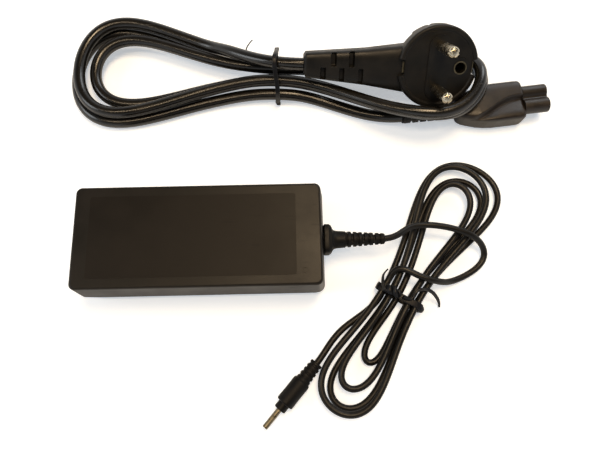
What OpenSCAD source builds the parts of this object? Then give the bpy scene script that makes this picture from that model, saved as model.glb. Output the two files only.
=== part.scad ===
// Laptop power adapter with its low-voltage lead and its unplugged mains lead.
// Origin: bottom centre of the housing. +X towards the low-voltage lead, +Z up.

/* [Housing] */
// Length over the seam
case_l = 106; // [96:1:128]
// Width over the seam
case_w = 46; // [44:1:58]
// Overall height
case_h = 29.5; // [29:0.5:36]
// Height of the seam between the two shells
seam_z = 14.5; // [13.5:0.1:16]
// Inward draft of each shell wall from the seam to the face
draft = 1.3; // [0.6:0.1:2]
// Wall thickness
wall = 2.2; // [1.6:0.1:3]
// Corner radius at the seam
corner_r = 3.2; // [2:0.1:6]
// Radius that breaks the top and bottom edges
edge_r = 1.2; // [0.5:0.1:2]
// Width of the welded seam groove
seam_gap = 0.3; // [0.1:0.05:0.5]
// Depth of the welded seam groove
seam_depth = 0.5; // [0.2:0.1:0.8]

/* [Rating label] */
// Label length
label_l = 86; // [60:1:92]
// Label width
label_w = 34.5; // [20:0.5:38]
// Label thickness
label_t = 0.15; // [0.1:0.05:0.3]
// Label shift along X
label_x = -2; // [-4:0.5:2]
// Diameter of the small moulded ring beside the label
mark_d = 2.6; // [2:0.1:4]

/* [Mains inlet] */
// Width of the inlet block
inlet_w = 19; // [18:0.5:21]
// Height of the inlet block
inlet_h = 15.6; // [15:0.1:17]
// Depth of the inlet block
inlet_depth = 16; // [15:0.5:18]
// Depth of the clover recess
recess_depth = 12.5; // [12:0.5:13]
// Radius of each lobe of the recess
lobe_r = 3.9; // [3.8:0.05:4.1]
// Spacing of the line and neutral pins
pole_gap = 7; // [6.8:0.1:7.2]
// Height of the line and neutral pins over the centre
pole_z = 2.1; // [1.9:0.1:2.3]
// Drop of the earth pin under the centre
earth_z = 3.4; // [3.2:0.1:3.6]
// Diameter of the inlet pins
inlet_pin_d = 2.4; // [2:0.1:2.6]
// Length of the inlet pins in the recess
inlet_pin_l = 10.5; // [9:0.5:11]

/* [Circuit board] */
// Board thickness
pcb_t = 1.6; // [1:0.2:2]
// Board length
pcb_l = 82; // [76:1:83]
// Board width
pcb_w = 38; // [36:1:38.5]
// Height of the posts that carry the board
post_h = 2.8; // [2.4:0.1:3.2]
// Gap between the inlet block and the board
pcb_gap = 2.5; // [1:0.5:4]
// Diameter of the bulk capacitor
bulk_d = 16; // [12:0.5:16.5]
// Length of the bulk capacitor
bulk_l = 22; // [18:1:23]
// Diameter of the output capacitors
outcap_d = 8; // [6.3:0.1:8.4]
// Height of the output capacitors
outcap_h = 14; // [11:1:17]
// Thickness of the heat sink plates
sink_t = 1.5; // [1:0.1:2]
// Height of the heat sink plates
sink_h = 16; // [14:0.5:18]

/* [Low-voltage lead] */
// Cord diameter
dc_d = 2.9; // [2.4:0.1:3]
// Width of the strain relief's collar
collar_w = 13; // [11:0.5:14]
// Height of the strain relief's collar
collar_h = 11; // [10:0.5:12]
// Thickness of the collar outside the wall
collar_t = 3; // [2:0.5:4]
// Length of the tapered sleeve past the collar
relief_l = 24; // [20:1:26]
// Diameter of the sleeve at the collar
relief_d1 = 8.2; // [7:0.1:9]
// Diameter of the sleeve at its free end
relief_d2 = 4.8; // [4.4:0.1:5.4]
// Number of ribs on the sleeve
relief_ribs = 6; // [4:1:7]
// Length of the smooth part before the ribs
relief_plain = 7; // [5:0.5:8]

/* [Barrel plug] */
// Diameter of the moulded grip
grip_d = 8; // [7:0.1:9]
// Length of the moulded grip
grip_l = 11.5; // [9:0.5:14]
// Diameter of the plug's own strain relief
neck_d = 5.6; // [5:0.1:6.5]
// Length of the plug's own strain relief
neck_l = 10.5; // [8:0.5:13]
// Diameter of the collar in front of the grip
nose_d = 5.4; // [4.5:0.1:6]
// Length of the collar in front of the grip
nose_l = 3.2; // [2:0.1:4]
// Outer diameter of the barrel
barrel_d = 2.5; // [2.3:0.1:3]
// Bore of the barrel
barrel_bore = 0.7; // [0.6:0.05:0.9]
// Wall of the insulating liner in the barrel
liner_t = 0.35; // [0.25:0.05:0.5]
// Length of the barrel
barrel_l = 9.5; // [9:0.5:11]

/* [Mains lead] */
// Cord diameter
ac_d = 5.6; // [5:0.1:5.7]
// Diameter of the plug's round body
plug_d = 37; // [35:0.5:38]
// Thickness of the round body
plug_t = 16; // [14:0.5:17]
// Distance of the handle's axis behind the face
handle_back = 9; // [8:0.5:10]
// Reach of the handle from the plug's centre
handle_reach = 61; // [58:1:62]
// Width of the handle at its free end
handle_w = 11; // [9:0.5:12]
// Width of the handle at the round body
handle_root = 19; // [16:0.5:20]
// Diameter of the two pins
pin_d = 4.8; // [4:0.1:5]
// Length of the pins
pin_l = 19; // [18:0.5:20]
// Spacing of the pins
pin_gap = 19; // [18:0.5:20]
// Distance of the earth hole from the line of the pins
earth_off = 10; // [9:0.5:11]
// Bore of the earth contact
earth_d = 4.9; // [4.5:0.1:5.2]
// Depth of the earth contact
earth_l = 12; // [10:0.5:13]

/* [Appliance connector] */
// Length of the moulded body
conn_l = 32.5; // [28:0.5:34]
// Width of the moulded body at its front
conn_w = 19.6; // [18:0.2:20]
// Height of the moulded body
conn_h = 13; // [12.6:0.1:13.2]
// Length of the clover nose
cnose_l = 12; // [10:0.5:12]
// Gap all round between the clover nose and the recess that it enters
clover_gap = 0.3; // [0.2:0.05:0.5]
// Length of the cord's sleeve
conn_relief_l = 26; // [20:1:26]
// Bore of the contacts
contact_d = 2.5; // [2.3:0.05:2.7]

/* [Ties] */
// Width of the flat tie on the low-voltage lead
tie_w = 3.6; // [2.5:0.1:4.5]
// Thickness of the flat tie
tie_t = 0.7; // [0.5:0.1:1]
// Diameter of the wire tie on the mains lead
wire_tie_d = 1.5; // [1:0.1:1.8]

/* [Hidden] */
$fn = 48;
eps = 0.01;

// ---------- derived places ----------
floor_z = wall;
pcb_z = floor_z + post_h;
top_z = pcb_z + pcb_t;
in_x = case_l / 2 - wall;              // inner face of an end wall at the seam
pcb_x0 = -case_l / 2 + inlet_depth + pcb_gap;
pcb_cx = pcb_x0 + pcb_l / 2;
sink1_y = pcb_w / 2 - 1;               // outer face of the primary heat sink
core_x = pcb_x0 + 30 + bulk_l + 2.3;   // near side of the transformer core
core_l = 12;
sink2_x = core_x + core_l + 2.2 + sink_t; // outer face of the secondary heat sink
relief_x = case_l / 2;                 // where the sleeve leaves the wall
relief_end = relief_x + collar_t + relief_l;
sink2_w = pcb_w - 2 * (outcap_d + 2) - 1; // the secondary heat sink stands between the output capacitors
lead_shift = [relief_end - 80, 0, 0];  // the low-voltage route's points are chosen for a sleeve that ends at x = 80
// Neck of the strain relief in the end wall, and the gap round it and round the inlet block.
neck_w = 9;
neck_h = 8;
fit_gap = 0.1;

// ---------- vectors and tubes ----------
function unit(v) = v / norm(v);
function smooth(a, b, x) = let (q = min(1, max(0, (x - a) / (b - a)))) q * q * (3 - 2 * q);
// Points of a smooth curve through the given points, n steps a span.
function spline(p, n) = let (m = len(p)) concat([for (i = [0:m - 2]) each [for (j = [0:n - 1])
    let (a = p[max(i - 1, 0)], b = p[i], c = p[i + 1], d = p[min(i + 2, m - 1)], t = j / n)
    0.5 * (2 * b + (c - a) * t + (2 * a - 5 * b + 4 * c - d) * t * t
        + (3 * b - a - 3 * c + d) * t * t * t)]], [p[m - 1]]);
function heading(p, i) = unit(p[min(i + 1, len(p) - 1)] - p[max(i - 1, 0)]);
// Side vectors carried along the path without twist.
function sides(p, i, s) = i >= len(p) ? [] : let (t = heading(p, i), q = unit(s - (s * t) * t))
    concat([q], sides(p, i + 1, q));
module tube(p, r, n, up = [0, 0, 1]) {
    m = len(p);
    s = sides(p, 0, unit(cross(heading(p, 0), up)));
    pts = [for (i = [0:m - 1]) let (t = heading(p, i), u = s[i], v = cross(t, u))
        for (j = [0:n - 1]) let (a = 360 * (j + 0.5) / n) p[i] + r * (cos(a) * u + sin(a) * v)];
    faces = concat([[for (j = [0:n - 1]) j]],
        [for (i = [0:m - 2], j = [0:n - 1]) let (a = i * n + j, b = i * n + (j + 1) % n)
            each [[a, a + n, b], [b, a + n, b + n]]],
        [[for (j = [n - 1:-1:0]) (m - 1) * n + j]]);
    polyhedron(points = pts, faces = faces, convexity = 12);
}
// A thin wire that bends in an upright plane.
module wire(p, r) { tube(p, r, 6, [0, 1, 0]); }
// Least distance between two parts of a path that lie more than far apart along it.
function run(p, i = 0, s = 0) = i >= len(p) ? [] :
    let (q = i == 0 ? 0 : s + norm(p[i] - p[i - 1])) concat([q], run(p, i + 1, q));
function self_gap(p, far) = let (s = run(p)) min([for (i = [0:len(p) - 1], j = [i + 1:1:len(p) - 1])
    if (s[j] - s[i] > far) norm(p[i] - p[j])]);

// ---------- rounded block with draft ----------
module plate(l, w, r, z) { translate([0, 0, z]) linear_extrude(height = eps) offset(r = r, $fn = 32) square([l - 2 * r, w - 2 * r], center = true); }
// From the seam (z = 0) to the face at height h, with a rounded edge.
module half_block(l, w, r, d, h, e) {
    hull() {
        plate(l, w, r, 0);
        for (k = [0:5]) let (q = 18 * k, s = d + e * (1 - cos(q)))
            plate(l - 2 * s, w - 2 * s, max(r - d / 2 - 0.6 * e * (1 - cos(q)), 0.5), h - e + e * sin(q) - (k == 5 ? eps : 0));
    }
}
module shell_half(h) {
    difference() {
        half_block(case_l, case_w, corner_r, draft, h, edge_r);
        translate([0, 0, -1]) half_block(case_l - 2 * wall, case_w - 2 * wall, max(corner_r - wall, 0.8), draft, h - wall + 1, 0.5);
        // weld groove round the seam
        translate([0, 0, -eps]) linear_extrude(height = seam_gap / 2 + eps) difference() {
            square([case_l + 2, case_w + 2], center = true);
            offset(r = corner_r, $fn = 32) square([case_l - 2 * seam_depth - 2 * corner_r, case_w - 2 * seam_depth - 2 * corner_r], center = true);
        }
    }
}
// Cut-outs for the inlet at -X and the strain relief's neck at +X, centred on the seam.
module end_openings() {
    translate([-case_l / 2 - 1, -inlet_w / 2 - fit_gap, -inlet_h / 2 - fit_gap]) cube([wall + draft + 3, inlet_w + 2 * fit_gap, inlet_h + 2 * fit_gap]);
    translate([case_l / 2 - wall - draft - 1, -neck_w / 2 - fit_gap, -neck_h / 2 - fit_gap]) cube([wall + draft + 3, neck_w + 2 * fit_gap, neck_h + 2 * fit_gap]);
}
module top_shell() {
    color("#23211c") translate([0, 0, seam_z]) difference() {
        union() {
            shell_half(case_h - seam_z);
            // press ribs over the inlet block
            for (y = [-6, 6]) translate([-case_l / 2 + 6, y - 0.6, inlet_h / 2 + fit_gap]) cube([7, 1.2, case_h - seam_z - wall - inlet_h / 2 - fit_gap + 0.2]);
        }
        end_openings();
        // small moulded ring in the top face
        translate([case_l / 2 - 8.5, -case_w / 2 + 7.2, case_h - seam_z - 0.25]) difference() {
            cylinder(d = mark_d, h = 1);
            translate([0, 0, -1]) cylinder(d = mark_d - 0.7, h = 3);
        }
    }
}
module bottom_shell() {
    color("#23211c") union() {
        difference() {
            translate([0, 0, seam_z]) mirror([0, 0, 1]) shell_half(seam_z);
            translate([0, 0, seam_z]) end_openings();
        }
        // posts under the board
        for (x = [pcb_x0 + 4, pcb_x0 + pcb_l - 4], y = [-1, 1]) translate([x, y * (pcb_w / 2 - 4), floor_z - 0.2]) cylinder(d = 4, h = post_h + 0.2);
        // cradle under the inlet block
        for (y = [-6, 6]) translate([-case_l / 2 + 6, y - 0.6, floor_z - 0.2]) cube([7, 1.2, seam_z - inlet_h / 2 - fit_gap - floor_z + 0.2]);
    }
}
module rating_label() {
    color("#3a352c") translate([label_x, 0, case_h]) linear_extrude(height = label_t) offset(r = 1) square([label_l - 2, label_w - 2], center = true);
}

// ---------- clover of the appliance coupler ----------
module clover(r) {
    offset(r = -1.2, $fn = 32) offset(r = 1.2, $fn = 32) union() {
        for (y = [-1, 1]) translate([y * pole_gap / 2, pole_z]) circle(r = r, $fn = 32);
        translate([0, -earth_z]) circle(r = r, $fn = 32);
        square([pole_gap, 2 * pole_z], center = true);
    }
}
module at_poles() {
    for (y = [-1, 1]) translate([0, y * pole_gap / 2, pole_z]) children();
    translate([0, 0, -earth_z]) children();
}
module inlet_socket() {
    color("#1a1a1a") translate([-case_l / 2, 0, seam_z]) difference() {
        union() {
            translate([0, -inlet_w / 2, -inlet_h / 2]) cube([inlet_depth, inlet_w, inlet_h]);
            // flanges behind the end wall
            for (s = [-1, 1]) translate([wall + draft + 0.6, s > 0 ? inlet_w / 2 - 0.2 : -inlet_w / 2 - 1.3, -inlet_h / 2 + 2]) cube([1.6, 1.5, inlet_h - 4]);
        }
        translate([-1, 0, 0]) rotate([90, 0, 90]) linear_extrude(height = recess_depth + 1) clover(lobe_r);
    }
}
module inlet_pins() {
    color("#b9b3a4") translate([-case_l / 2, 0, seam_z]) {
        at_poles() translate([recess_depth - inlet_pin_l, 0, 0]) rotate([0, 90, 0]) {
            cylinder(d = inlet_pin_d, h = inlet_pin_l);
        }
        at_poles() translate([inlet_depth, 0, 0]) rotate([0, 90, 0]) cylinder(d = 1.2, h = 1.6);
    }
}
module inlet_wires() {
    x0 = -case_l / 2 + inlet_depth + 1.6;
    for (y = [-1, 1]) color(y > 0 ? "#4a3423" : "#2b4a7a") {
        wire([[x0, y * pole_gap / 2, seam_z + pole_z], [x0 + 1.4, y * pole_gap / 2, seam_z + pole_z],
            [x0 + 2.4, y * pole_gap / 2, seam_z + pole_z - 1.2],
            [x0 + 2.8, y * pole_gap / 2, top_z + 3], [x0 + 2.8, y * pole_gap / 2, top_z]], 0.6);
    }
}

// ---------- board and what stands on it ----------
module circuit_board() {
    color("#7a6a34") translate([pcb_x0, -pcb_w / 2, pcb_z]) cube([pcb_l, pcb_w, pcb_t]);
}
module insulation_sheet() {
    color("#c9b26a") difference() {
        translate([pcb_x0 + 1, -pcb_w / 2 + 1, floor_z]) cube([pcb_l - 2, pcb_w - 2, 0.3]);
        for (x = [pcb_x0 + 4, pcb_x0 + pcb_l - 4], y = [-1, 1]) translate([x, y * (pcb_w / 2 - 4), 0]) cube([5, 5, 20], center = true);
    }
}
module fuse() { color("#4d2c1c") translate([pcb_x0 + 8.5, -13.5, top_z]) cylinder(d = 8.4, h = 8); }
module varistor() { color("#2f6ba0") translate([pcb_x0 + 8, 13, top_z + 5]) rotate([0, 90, 0]) cylinder(d = 10, h = 4, center = true); }
module x_capacitor() { color("#c8a23a") translate([pcb_x0 + 12, 9.5, top_z]) cube([13, 6.5, 12]); }
module common_mode_choke() {
    color("#3b3b3b") translate([pcb_x0 + 15, -16.5, top_z]) difference() {
        cube([13, 13, 14]);
        translate([3, -1, 3]) cube([7, 15, 8]);
    }
}
module choke_windings() {
    color("#a8602c") translate([pcb_x0 + 15, -10, top_z]) for (z = [3.1, 7.5]) translate([3.1, -4.5, z]) cube([6.8, 9, 3.3]);
}
module bridge_rectifier() { color("#222222") translate([pcb_x0 + 26.5, 2, top_z]) cube([10, 3.5, 10.5]); }
module bulk_capacitor() {
    color("#23324f") translate([pcb_x0 + 30, -pcb_w / 2 + 1 + bulk_d / 2, top_z + bulk_d / 2]) rotate([0, 90, 0]) rotate_extrude() polygon([[0, 0],
        [bulk_d / 2 - 0.6, 0], [bulk_d / 2, 0.6], [bulk_d / 2, 2], [bulk_d / 2 - 0.5, 2.6], [bulk_d / 2, 3.2],
        [bulk_d / 2, bulk_l - 0.5], [bulk_d / 2 - 0.5, bulk_l], [0, bulk_l]]);
}
module primary_heatsink() { color("#9a9a9a") translate([pcb_x0 + 27, sink1_y - sink_t, top_z]) cube([24, sink_t, sink_h]); }
module switching_transistor() {
    color("#202020") translate([pcb_x0 + 32, sink1_y - sink_t - 4.5, top_z + 3]) cube([10, 4.5, 9.5]);
    color("#b0b0b0") translate([pcb_x0 + 32, sink1_y - sink_t - 1.3, top_z + 12.5]) cube([10, 1.3, 3.2]);
    color("#b0b0b0") for (x = [2, 4.6, 7.2]) translate([pcb_x0 + 32 + x, sink1_y - sink_t - 2.8, top_z]) cube([0.8, 0.6, 3]);
}
module control_chip() { color("#1c1c1c") translate([pcb_x0 + 15, 0, top_z]) cube([9.5, 6.4, 3.3]); }
module transformer_core() {
    color("#333333") translate([core_x, -10, top_z + 2.5]) difference() {
        cube([core_l, 20, 15]);
        for (y = [3, 12.5]) translate([-1, y, 3]) cube([core_l + 2, 4.5, 9]);
    }
}
module transformer_winding() {
    color("#c9ad3a") translate([core_x + core_l / 2, 0, top_z]) {
        difference() {
            translate([-core_l / 2 - 1.4, -6.9, 5.6]) cube([core_l + 2.8, 13.8, 8.8]);
            translate([-core_l / 2 - 2, -2.6, 5]) cube([core_l + 4, 5.2, 10]);
        }
        // feet of the coil former
        for (x = [-core_l / 2 - 1.4, core_l / 2]) translate([x, -6.9, 0]) cube([1.4, 13.8, 5.7]);
    }
}
module y_capacitor() { color("#2f6ba0") translate([pcb_x0 + 45.5, 8.6, top_z + 4]) rotate([90, 0, 0]) cylinder(d = 8, h = 3.4, center = true); }
module optocoupler() { color("#e4e0d0") translate([core_x + 5, pcb_w / 2 - 7.5, top_z]) cube([4.6, 6.4, 3.4]); }
module secondary_heatsink() { color("#9a9a9a") translate([sink2_x - sink_t, -sink2_w / 2, top_z]) cube([sink_t, sink2_w, sink_h]); }
module output_rectifier() {
    color("#202020") translate([sink2_x, -5, top_z + 3]) cube([4.5, 10, 9.5]);
    color("#b0b0b0") translate([sink2_x, -5, top_z + 12.5]) cube([1.3, 10, 3.2]);
    color("#b0b0b0") for (y = [2, 4.6, 7.2]) translate([sink2_x + 2.2, -5 + y, top_z]) cube([0.6, 0.8, 3]);
}
module output_capacitors() {
    color("#23324f") for (y = [-1, 1]) translate([pcb_x0 + pcb_l - outcap_d / 2 - 1, y * (pcb_w / 2 - outcap_d / 2 - 2), top_z]) rotate_extrude() polygon([[0, 0],
        [outcap_d / 2 - 0.4, 0], [outcap_d / 2, 0.4], [outcap_d / 2, 1.4], [outcap_d / 2 - 0.4, 1.9], [outcap_d / 2, 2.4],
        [outcap_d / 2, outcap_h - 0.4], [outcap_d / 2 - 0.4, outcap_h], [0, outcap_h]]);
}
module output_wires() {
    x1 = relief_x - wall - draft - 1.8;
    x2 = min(pcb_x0 + pcb_l - 1.9, x1 - 2.1);
    for (y = [-1, 1]) color(y > 0 ? "#8a1f1a" : "#151515")
        wire([[x1, y * 1.6, seam_z], [x1 - 1, y * 1.6, seam_z], [x2 + 0.3, y * 1.6, seam_z - 1.2], [x2, y * 1.6, top_z + 3], [x2, y * 1.6, top_z]], 0.6);
}

// ---------- low-voltage lead ----------
module dc_strain_relief() {
    rib_pitch = (relief_l - relief_plain - 1) / relief_ribs;
    // sleeve radius at x from the collar, and at rib or groove
    function rad(x) = (relief_d1 + (relief_d2 - relief_d1) * x / relief_l) / 2;
    color("#1b1a18") translate([relief_x, 0, seam_z]) {
        rotate([0, 90, 0]) rotate_extrude() polygon(concat([[0, -0.2], [rad(0) + 0.4, -0.2], [rad(0) + 0.4, collar_t], [rad(0), collar_t + 1]],
            [for (i = [0:relief_ribs - 1]) let (x = relief_plain + i * rib_pitch) each [[rad(x), collar_t + x], [rad(x) - 0.8, collar_t + x + 0.15],
                [rad(x) - 0.8, collar_t + x + 0.9], [rad(x + 1), collar_t + x + 1.1]]],
            [[rad(relief_l), collar_t + relief_l], [0, collar_t + relief_l]]));
        // collar outside the wall
        rotate([90, 0, 90]) linear_extrude(height = collar_t) offset(r = 2) square([collar_w - 4, collar_h - 4], center = true);
        // neck through the wall and flange inside it
        translate([-wall - draft - 0.3, -neck_w / 2, -neck_h / 2]) cube([wall + draft + 0.4, neck_w, neck_h]);
        translate([-wall - draft - 1.8, -neck_w / 2 - 1.5, -neck_h / 2 - 1]) cube([1.5, neck_w + 3, neck_h + 2]);
    }
}
// Hank of four loops: s runs along the hank, w across it, t in turns.
dc_step = 3.48;
dc_rise = 3.4;
dc_mid = 2;
function dc_layer(t) = 1 - smooth(1.76, 2.26, t);
function dc_point(t) = let (a = 360 * t, u = abs(t - dc_mid), l = dc_layer(t), low = sin(a) > 0,
    reach = low ? 23.5 + 39 * u - 11.4 * u * u : 59.5 + 8.3 * u,
    belly = low ? 3.7 + 9.6 * u : 16.8 + 9.2 * u,
    s = -reach * sin(a),
    w = 0.8 - cos(a) * (dc_step * (0.51 + u) + belly * sin(a) * sin(a))
        - 0.6 * (1 - smooth(0, 0.2, t))
        + (s > 0 ? (3.6 - 5.3 * l) * pow(s / 70, 2) : -2 * pow(s / 60, 2)))
    lead_shift + [87 + 0.53 * s + 0.848 * w, -25 + 0.848 * s - 0.53 * w, dc_d / 2 + dc_rise * l + (tie_t + 0.1) * (1 - smooth(5, 20, abs(s)))];
dc_turns = 4;
dc_rings = 24;
dc_loops = [for (i = [0:dc_turns * dc_rings]) dc_point(i / dc_rings)];
dc_in = unit(dc_loops[1] - dc_loops[0]);
dc_out = unit(dc_loops[dc_turns * dc_rings] - dc_loops[dc_turns * dc_rings - 1]);
dc_start = dc_loops[0] - dc_d * dc_in;
dc_end = dc_loops[dc_turns * dc_rings] + dc_d * dc_out;
module dc_cord_hank() { color("#1d1b18") tube(concat([dc_start], dc_loops, [dc_end]), dc_d / 2, 6); }
lead_points = [[87.5, 2.4, 13.4], [91.5, 5.6, 11.4], [97, 7, 10.2], [103, 6.8, 10.2], [109.5, 5.8, 10], [116, 4, 9.6],
    [121.4, 1.8, 8.6], [126.2, -1.4, 5], [128.4, -5.6, 2.2], [126.2, -10.2, 1.6], [120, -14.6, 1.6], [113, -17.6, 1.9],
    [107.8, -18.7, 4.6], [102.6, -18.4, 8.6], [96, -16.6, 9.4], [90, -13.2, 9.4], [85.4, -11.9, 8.6]];
module dc_cord_lead() {
    color("#1d1b18") tube(concat([[relief_end, 0, seam_z]], spline(concat([[relief_end + dc_d, 0, seam_z]], [for (p = lead_points) lead_shift + p],
        [dc_start - dc_d * dc_in]), 2), [dc_start]), dc_d / 2, 8);
}
// Axis of the barrel plug and the start of its neck.
plug_dir = [-0.661, -0.75, 0];
plug_yaw = atan2(plug_dir[1], plug_dir[0]);
plug_at = lead_shift + [48.9, -52.6, grip_d / 2];
tail_points = [[73, -29.8, 1.5], [67.5, -33.6, 1.5], [61.5, -37.6, 1.6], [56.4, -42.6, 2.4]];
module dc_cord_tail() {
    color("#1d1b18") tube(concat([dc_end], spline(concat([dc_end + dc_d * dc_out], [for (p = tail_points) lead_shift + p],
        [plug_at - unit(plug_dir) * dc_d]), 3), [plug_at]), dc_d / 2, 8);
}
module at_plug() { translate(plug_at) rotate([0, 90, plug_yaw]) children(); }
module dc_plug_grip() {
    ribs = 4;
    color("#191817") at_plug() rotate_extrude() polygon(concat([[0, 0]],
        [for (i = [0:ribs - 1]) let (z = i * (neck_l - 2) / ribs, r = neck_d / 2 + i * 0.12) each [[r, z], [r, z + 1.3], [r - 0.7, z + 1.45], [r - 0.7, z + 2]]],
        [[neck_d / 2 + 0.5, neck_l - 1.6], [grip_d / 2, neck_l], [grip_d / 2, neck_l + grip_l - 0.6], [grip_d / 2 - 0.6, neck_l + grip_l],
        [nose_d / 2, neck_l + grip_l], [nose_d / 2, neck_l + grip_l + nose_l - 0.3], [nose_d / 2 - 0.3, neck_l + grip_l + nose_l], [0, neck_l + grip_l + nose_l]]));
}
barrel_z = neck_l + grip_l + nose_l;
module dc_plug_barrel() {
    color("#b8a878") at_plug() translate([0, 0, barrel_z]) difference() {
        cylinder(d = barrel_d, h = barrel_l);
        translate([0, 0, -1]) cylinder(d = barrel_bore + 2 * liner_t, h = barrel_l + 2);
    }
}
module dc_plug_insulator() {
    color("#151515") at_plug() translate([0, 0, barrel_z]) difference() {
        cylinder(d = barrel_bore + 2 * liner_t, h = barrel_l - 0.3);
        translate([0, 0, 1]) cylinder(d = barrel_bore, h = barrel_l);
    }
}
// Flat tie: a band round the waist of the hank with a twist on top and two tails.
dc_half = 2.7 * dc_step + 0.5;
module dc_tie() {
    hw = dc_half + dc_d / 2 + tie_t - 0.8;
    ht = dc_rise + dc_d + 2 * tie_t + 0.4;
    color("#2a2926") translate(lead_shift + [87 - 0.5 * 0.848, -25 + 0.5 * 0.53, 0]) rotate([0, 0, atan2(-0.53, 0.848)]) {
        rotate([90, 0, 0]) translate([0, 0, -tie_w / 2]) linear_extrude(height = tie_w) difference() {
            translate([0, ht / 2]) offset(r = 2) square([2 * hw - 4, ht - 4], center = true);
            translate([0, ht / 2]) offset(r = 1.4) square([2 * hw - 2.8 - 2 * tie_t, ht - 2.8 - 2 * tie_t], center = true);
        }
        // twisted knot on top and the folded end at the far side
        translate([-4, 0, ht - 0.1]) linear_extrude(height = 1.6) offset(r = 1.2) square([3.6, 2], center = true);
        translate([hw - 0.4, -tie_w / 2, 2.2]) cube([2, tie_w, 3.4]);
    }
    color("#2a2926") translate(lead_shift) for (t = [hook_points, tail_end_points]) tube(spline(t, 3), 0.55, 6);
}
hook_points = [[80.6, -22.6, 7.8], [79.3, -21, 8.5], [79.1, -17.8, 8.4], [79.9, -14.8, 6.6], [82.2, -12.2, 5.2]];
tail_end_points = [[91, -26.3, 7.8], [93.6, -23, 9.2], [97.7, -22.1, 8.9], [101, -23.4, 7.6], [103.6, -25.6, 4.6], [105, -27.6, 2], [105.2, -29.4, 1]];

// ---------- mains lead ----------
ac_step = 6.36;
ac_rise = 6.1;
ac_mid = 1.25;
ac_tilt = -3.3;
function ac_layer(t) = 1 - smooth(1.05, 1.45, t);
function ac_point(t) = let (a = 360 * t, u = abs(t - ac_mid), l = ac_layer(t), far = sin(a) > 0,
    reach = far ? 91.5 + 6.6 * u + 3 * (1 - l) * u : 99.4 - 2.7 * l,
    belly = far ? 42.2 + 13.9 * u : 36.8 + 8.2 * u + 1.1 * l,
    s = -reach * sin(a),
    w = cos(a) * (ac_step * u + belly * sin(a) * sin(a))
        - 1.2 * smooth(2.3, 2.5, t)
        + (s > 0 ? -7.5 * smooth(10, 60, s) + 4.2 * smooth(75, 100, s) : -0.5 * smooth(0, 60, -s)),
    x = 33 + s * cos(ac_tilt) - w * sin(ac_tilt),
    y = 86.2 + s * sin(ac_tilt) + w * cos(ac_tilt))
    [x, y, ac_d / 2 + ac_rise * l + (wire_tie_d + 0.1) * (1 - smooth(6, 30, abs(s))) + 13.8 * smooth(7.7, 79, s) * (1 - smooth(75.4, 100, y))];
ac_first = 0.07;
ac_last = 2.5;
ac_count = 58;
ac_loops = [for (i = [0:ac_count]) ac_point(ac_first + (ac_last - ac_first) * i / ac_count)];
ac_in = unit(ac_point(ac_first + 0.002) - ac_loops[0]);
ac_out = [cos(ac_tilt), sin(ac_tilt), 0];
ac_start = ac_loops[0] - ac_d * ac_in;
ac_end = ac_loops[ac_count] + ac_d * ac_out;
module mains_cord_hank() { color("#1f1d19") tube(concat([ac_start], ac_loops, [ac_end]), ac_d / 2, 6); }
// Frame of the angled plug: face centre, pins along its +Z, handle along its -X.
plug_pos = [107.3, 76.3, 27];
plug_lean = 3.5; // about its Y, then tilted about X and turned about Z
plug_tilt = 42;
plug_turn = -2;
module at_mains_plug() { translate(plug_pos) rotate([plug_tilt, 0, plug_turn]) rotate([0, plug_lean, 0]) children(); }
function from_plug(p) = let (a = plug_lean, b = plug_tilt, c = plug_turn,
    q = [p[0] * cos(a) + p[2] * sin(a), p[1], -p[0] * sin(a) + p[2] * cos(a)],
    r = [q[0], q[1] * cos(b) - q[2] * sin(b), q[1] * sin(b) + q[2] * cos(b)])
    plug_pos + [r[0] * cos(c) - r[1] * sin(c), r[0] * sin(c) + r[1] * cos(c), r[2]];
handle_end = from_plug([-handle_reach, 0, -handle_back]);
handle_dir = unit(from_plug([-handle_reach - 1, 0, -handle_back]) - handle_end);
over_tie = [33, 83.6, 22.2]; // where the stretch to the plug passes over the tied waist
module mains_cord_plug_end() {
    color("#1f1d19") tube(concat([handle_end], spline([handle_end + ac_d * handle_dir, over_tie, [24.5, 86.8, 19.8], [16, 91.2, 17.1], [8, 96.2, 14.4],
        ac_start - ac_d * ac_in], 3), [ac_start]), ac_d / 2, 10);
}
conn_pos = [119.5, 65.2, conn_h / 2];
conn_yaw = 6;
conn_dir = [cos(conn_yaw), sin(conn_yaw), 0];
module mains_cord_connector_end() {
    color("#1f1d19") tube(concat([ac_end], spline([ac_end + ac_d * ac_out, [50, 75.2, 3], [62, 70.8, ac_d / 2], [74, 66.2, 3.2], [82, 63.4, 5],
        conn_pos - (conn_relief_l + ac_d) * conn_dir], 3), [conn_pos - conn_relief_l * conn_dir]), ac_d / 2, 10);
}
// Distances of the bend slots from the handle's free end, on its two sides.
slots_up = [12.3, 20.2];
slots_down = [7.9, 15.7, 23.8];
slot_w = 2;
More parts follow.
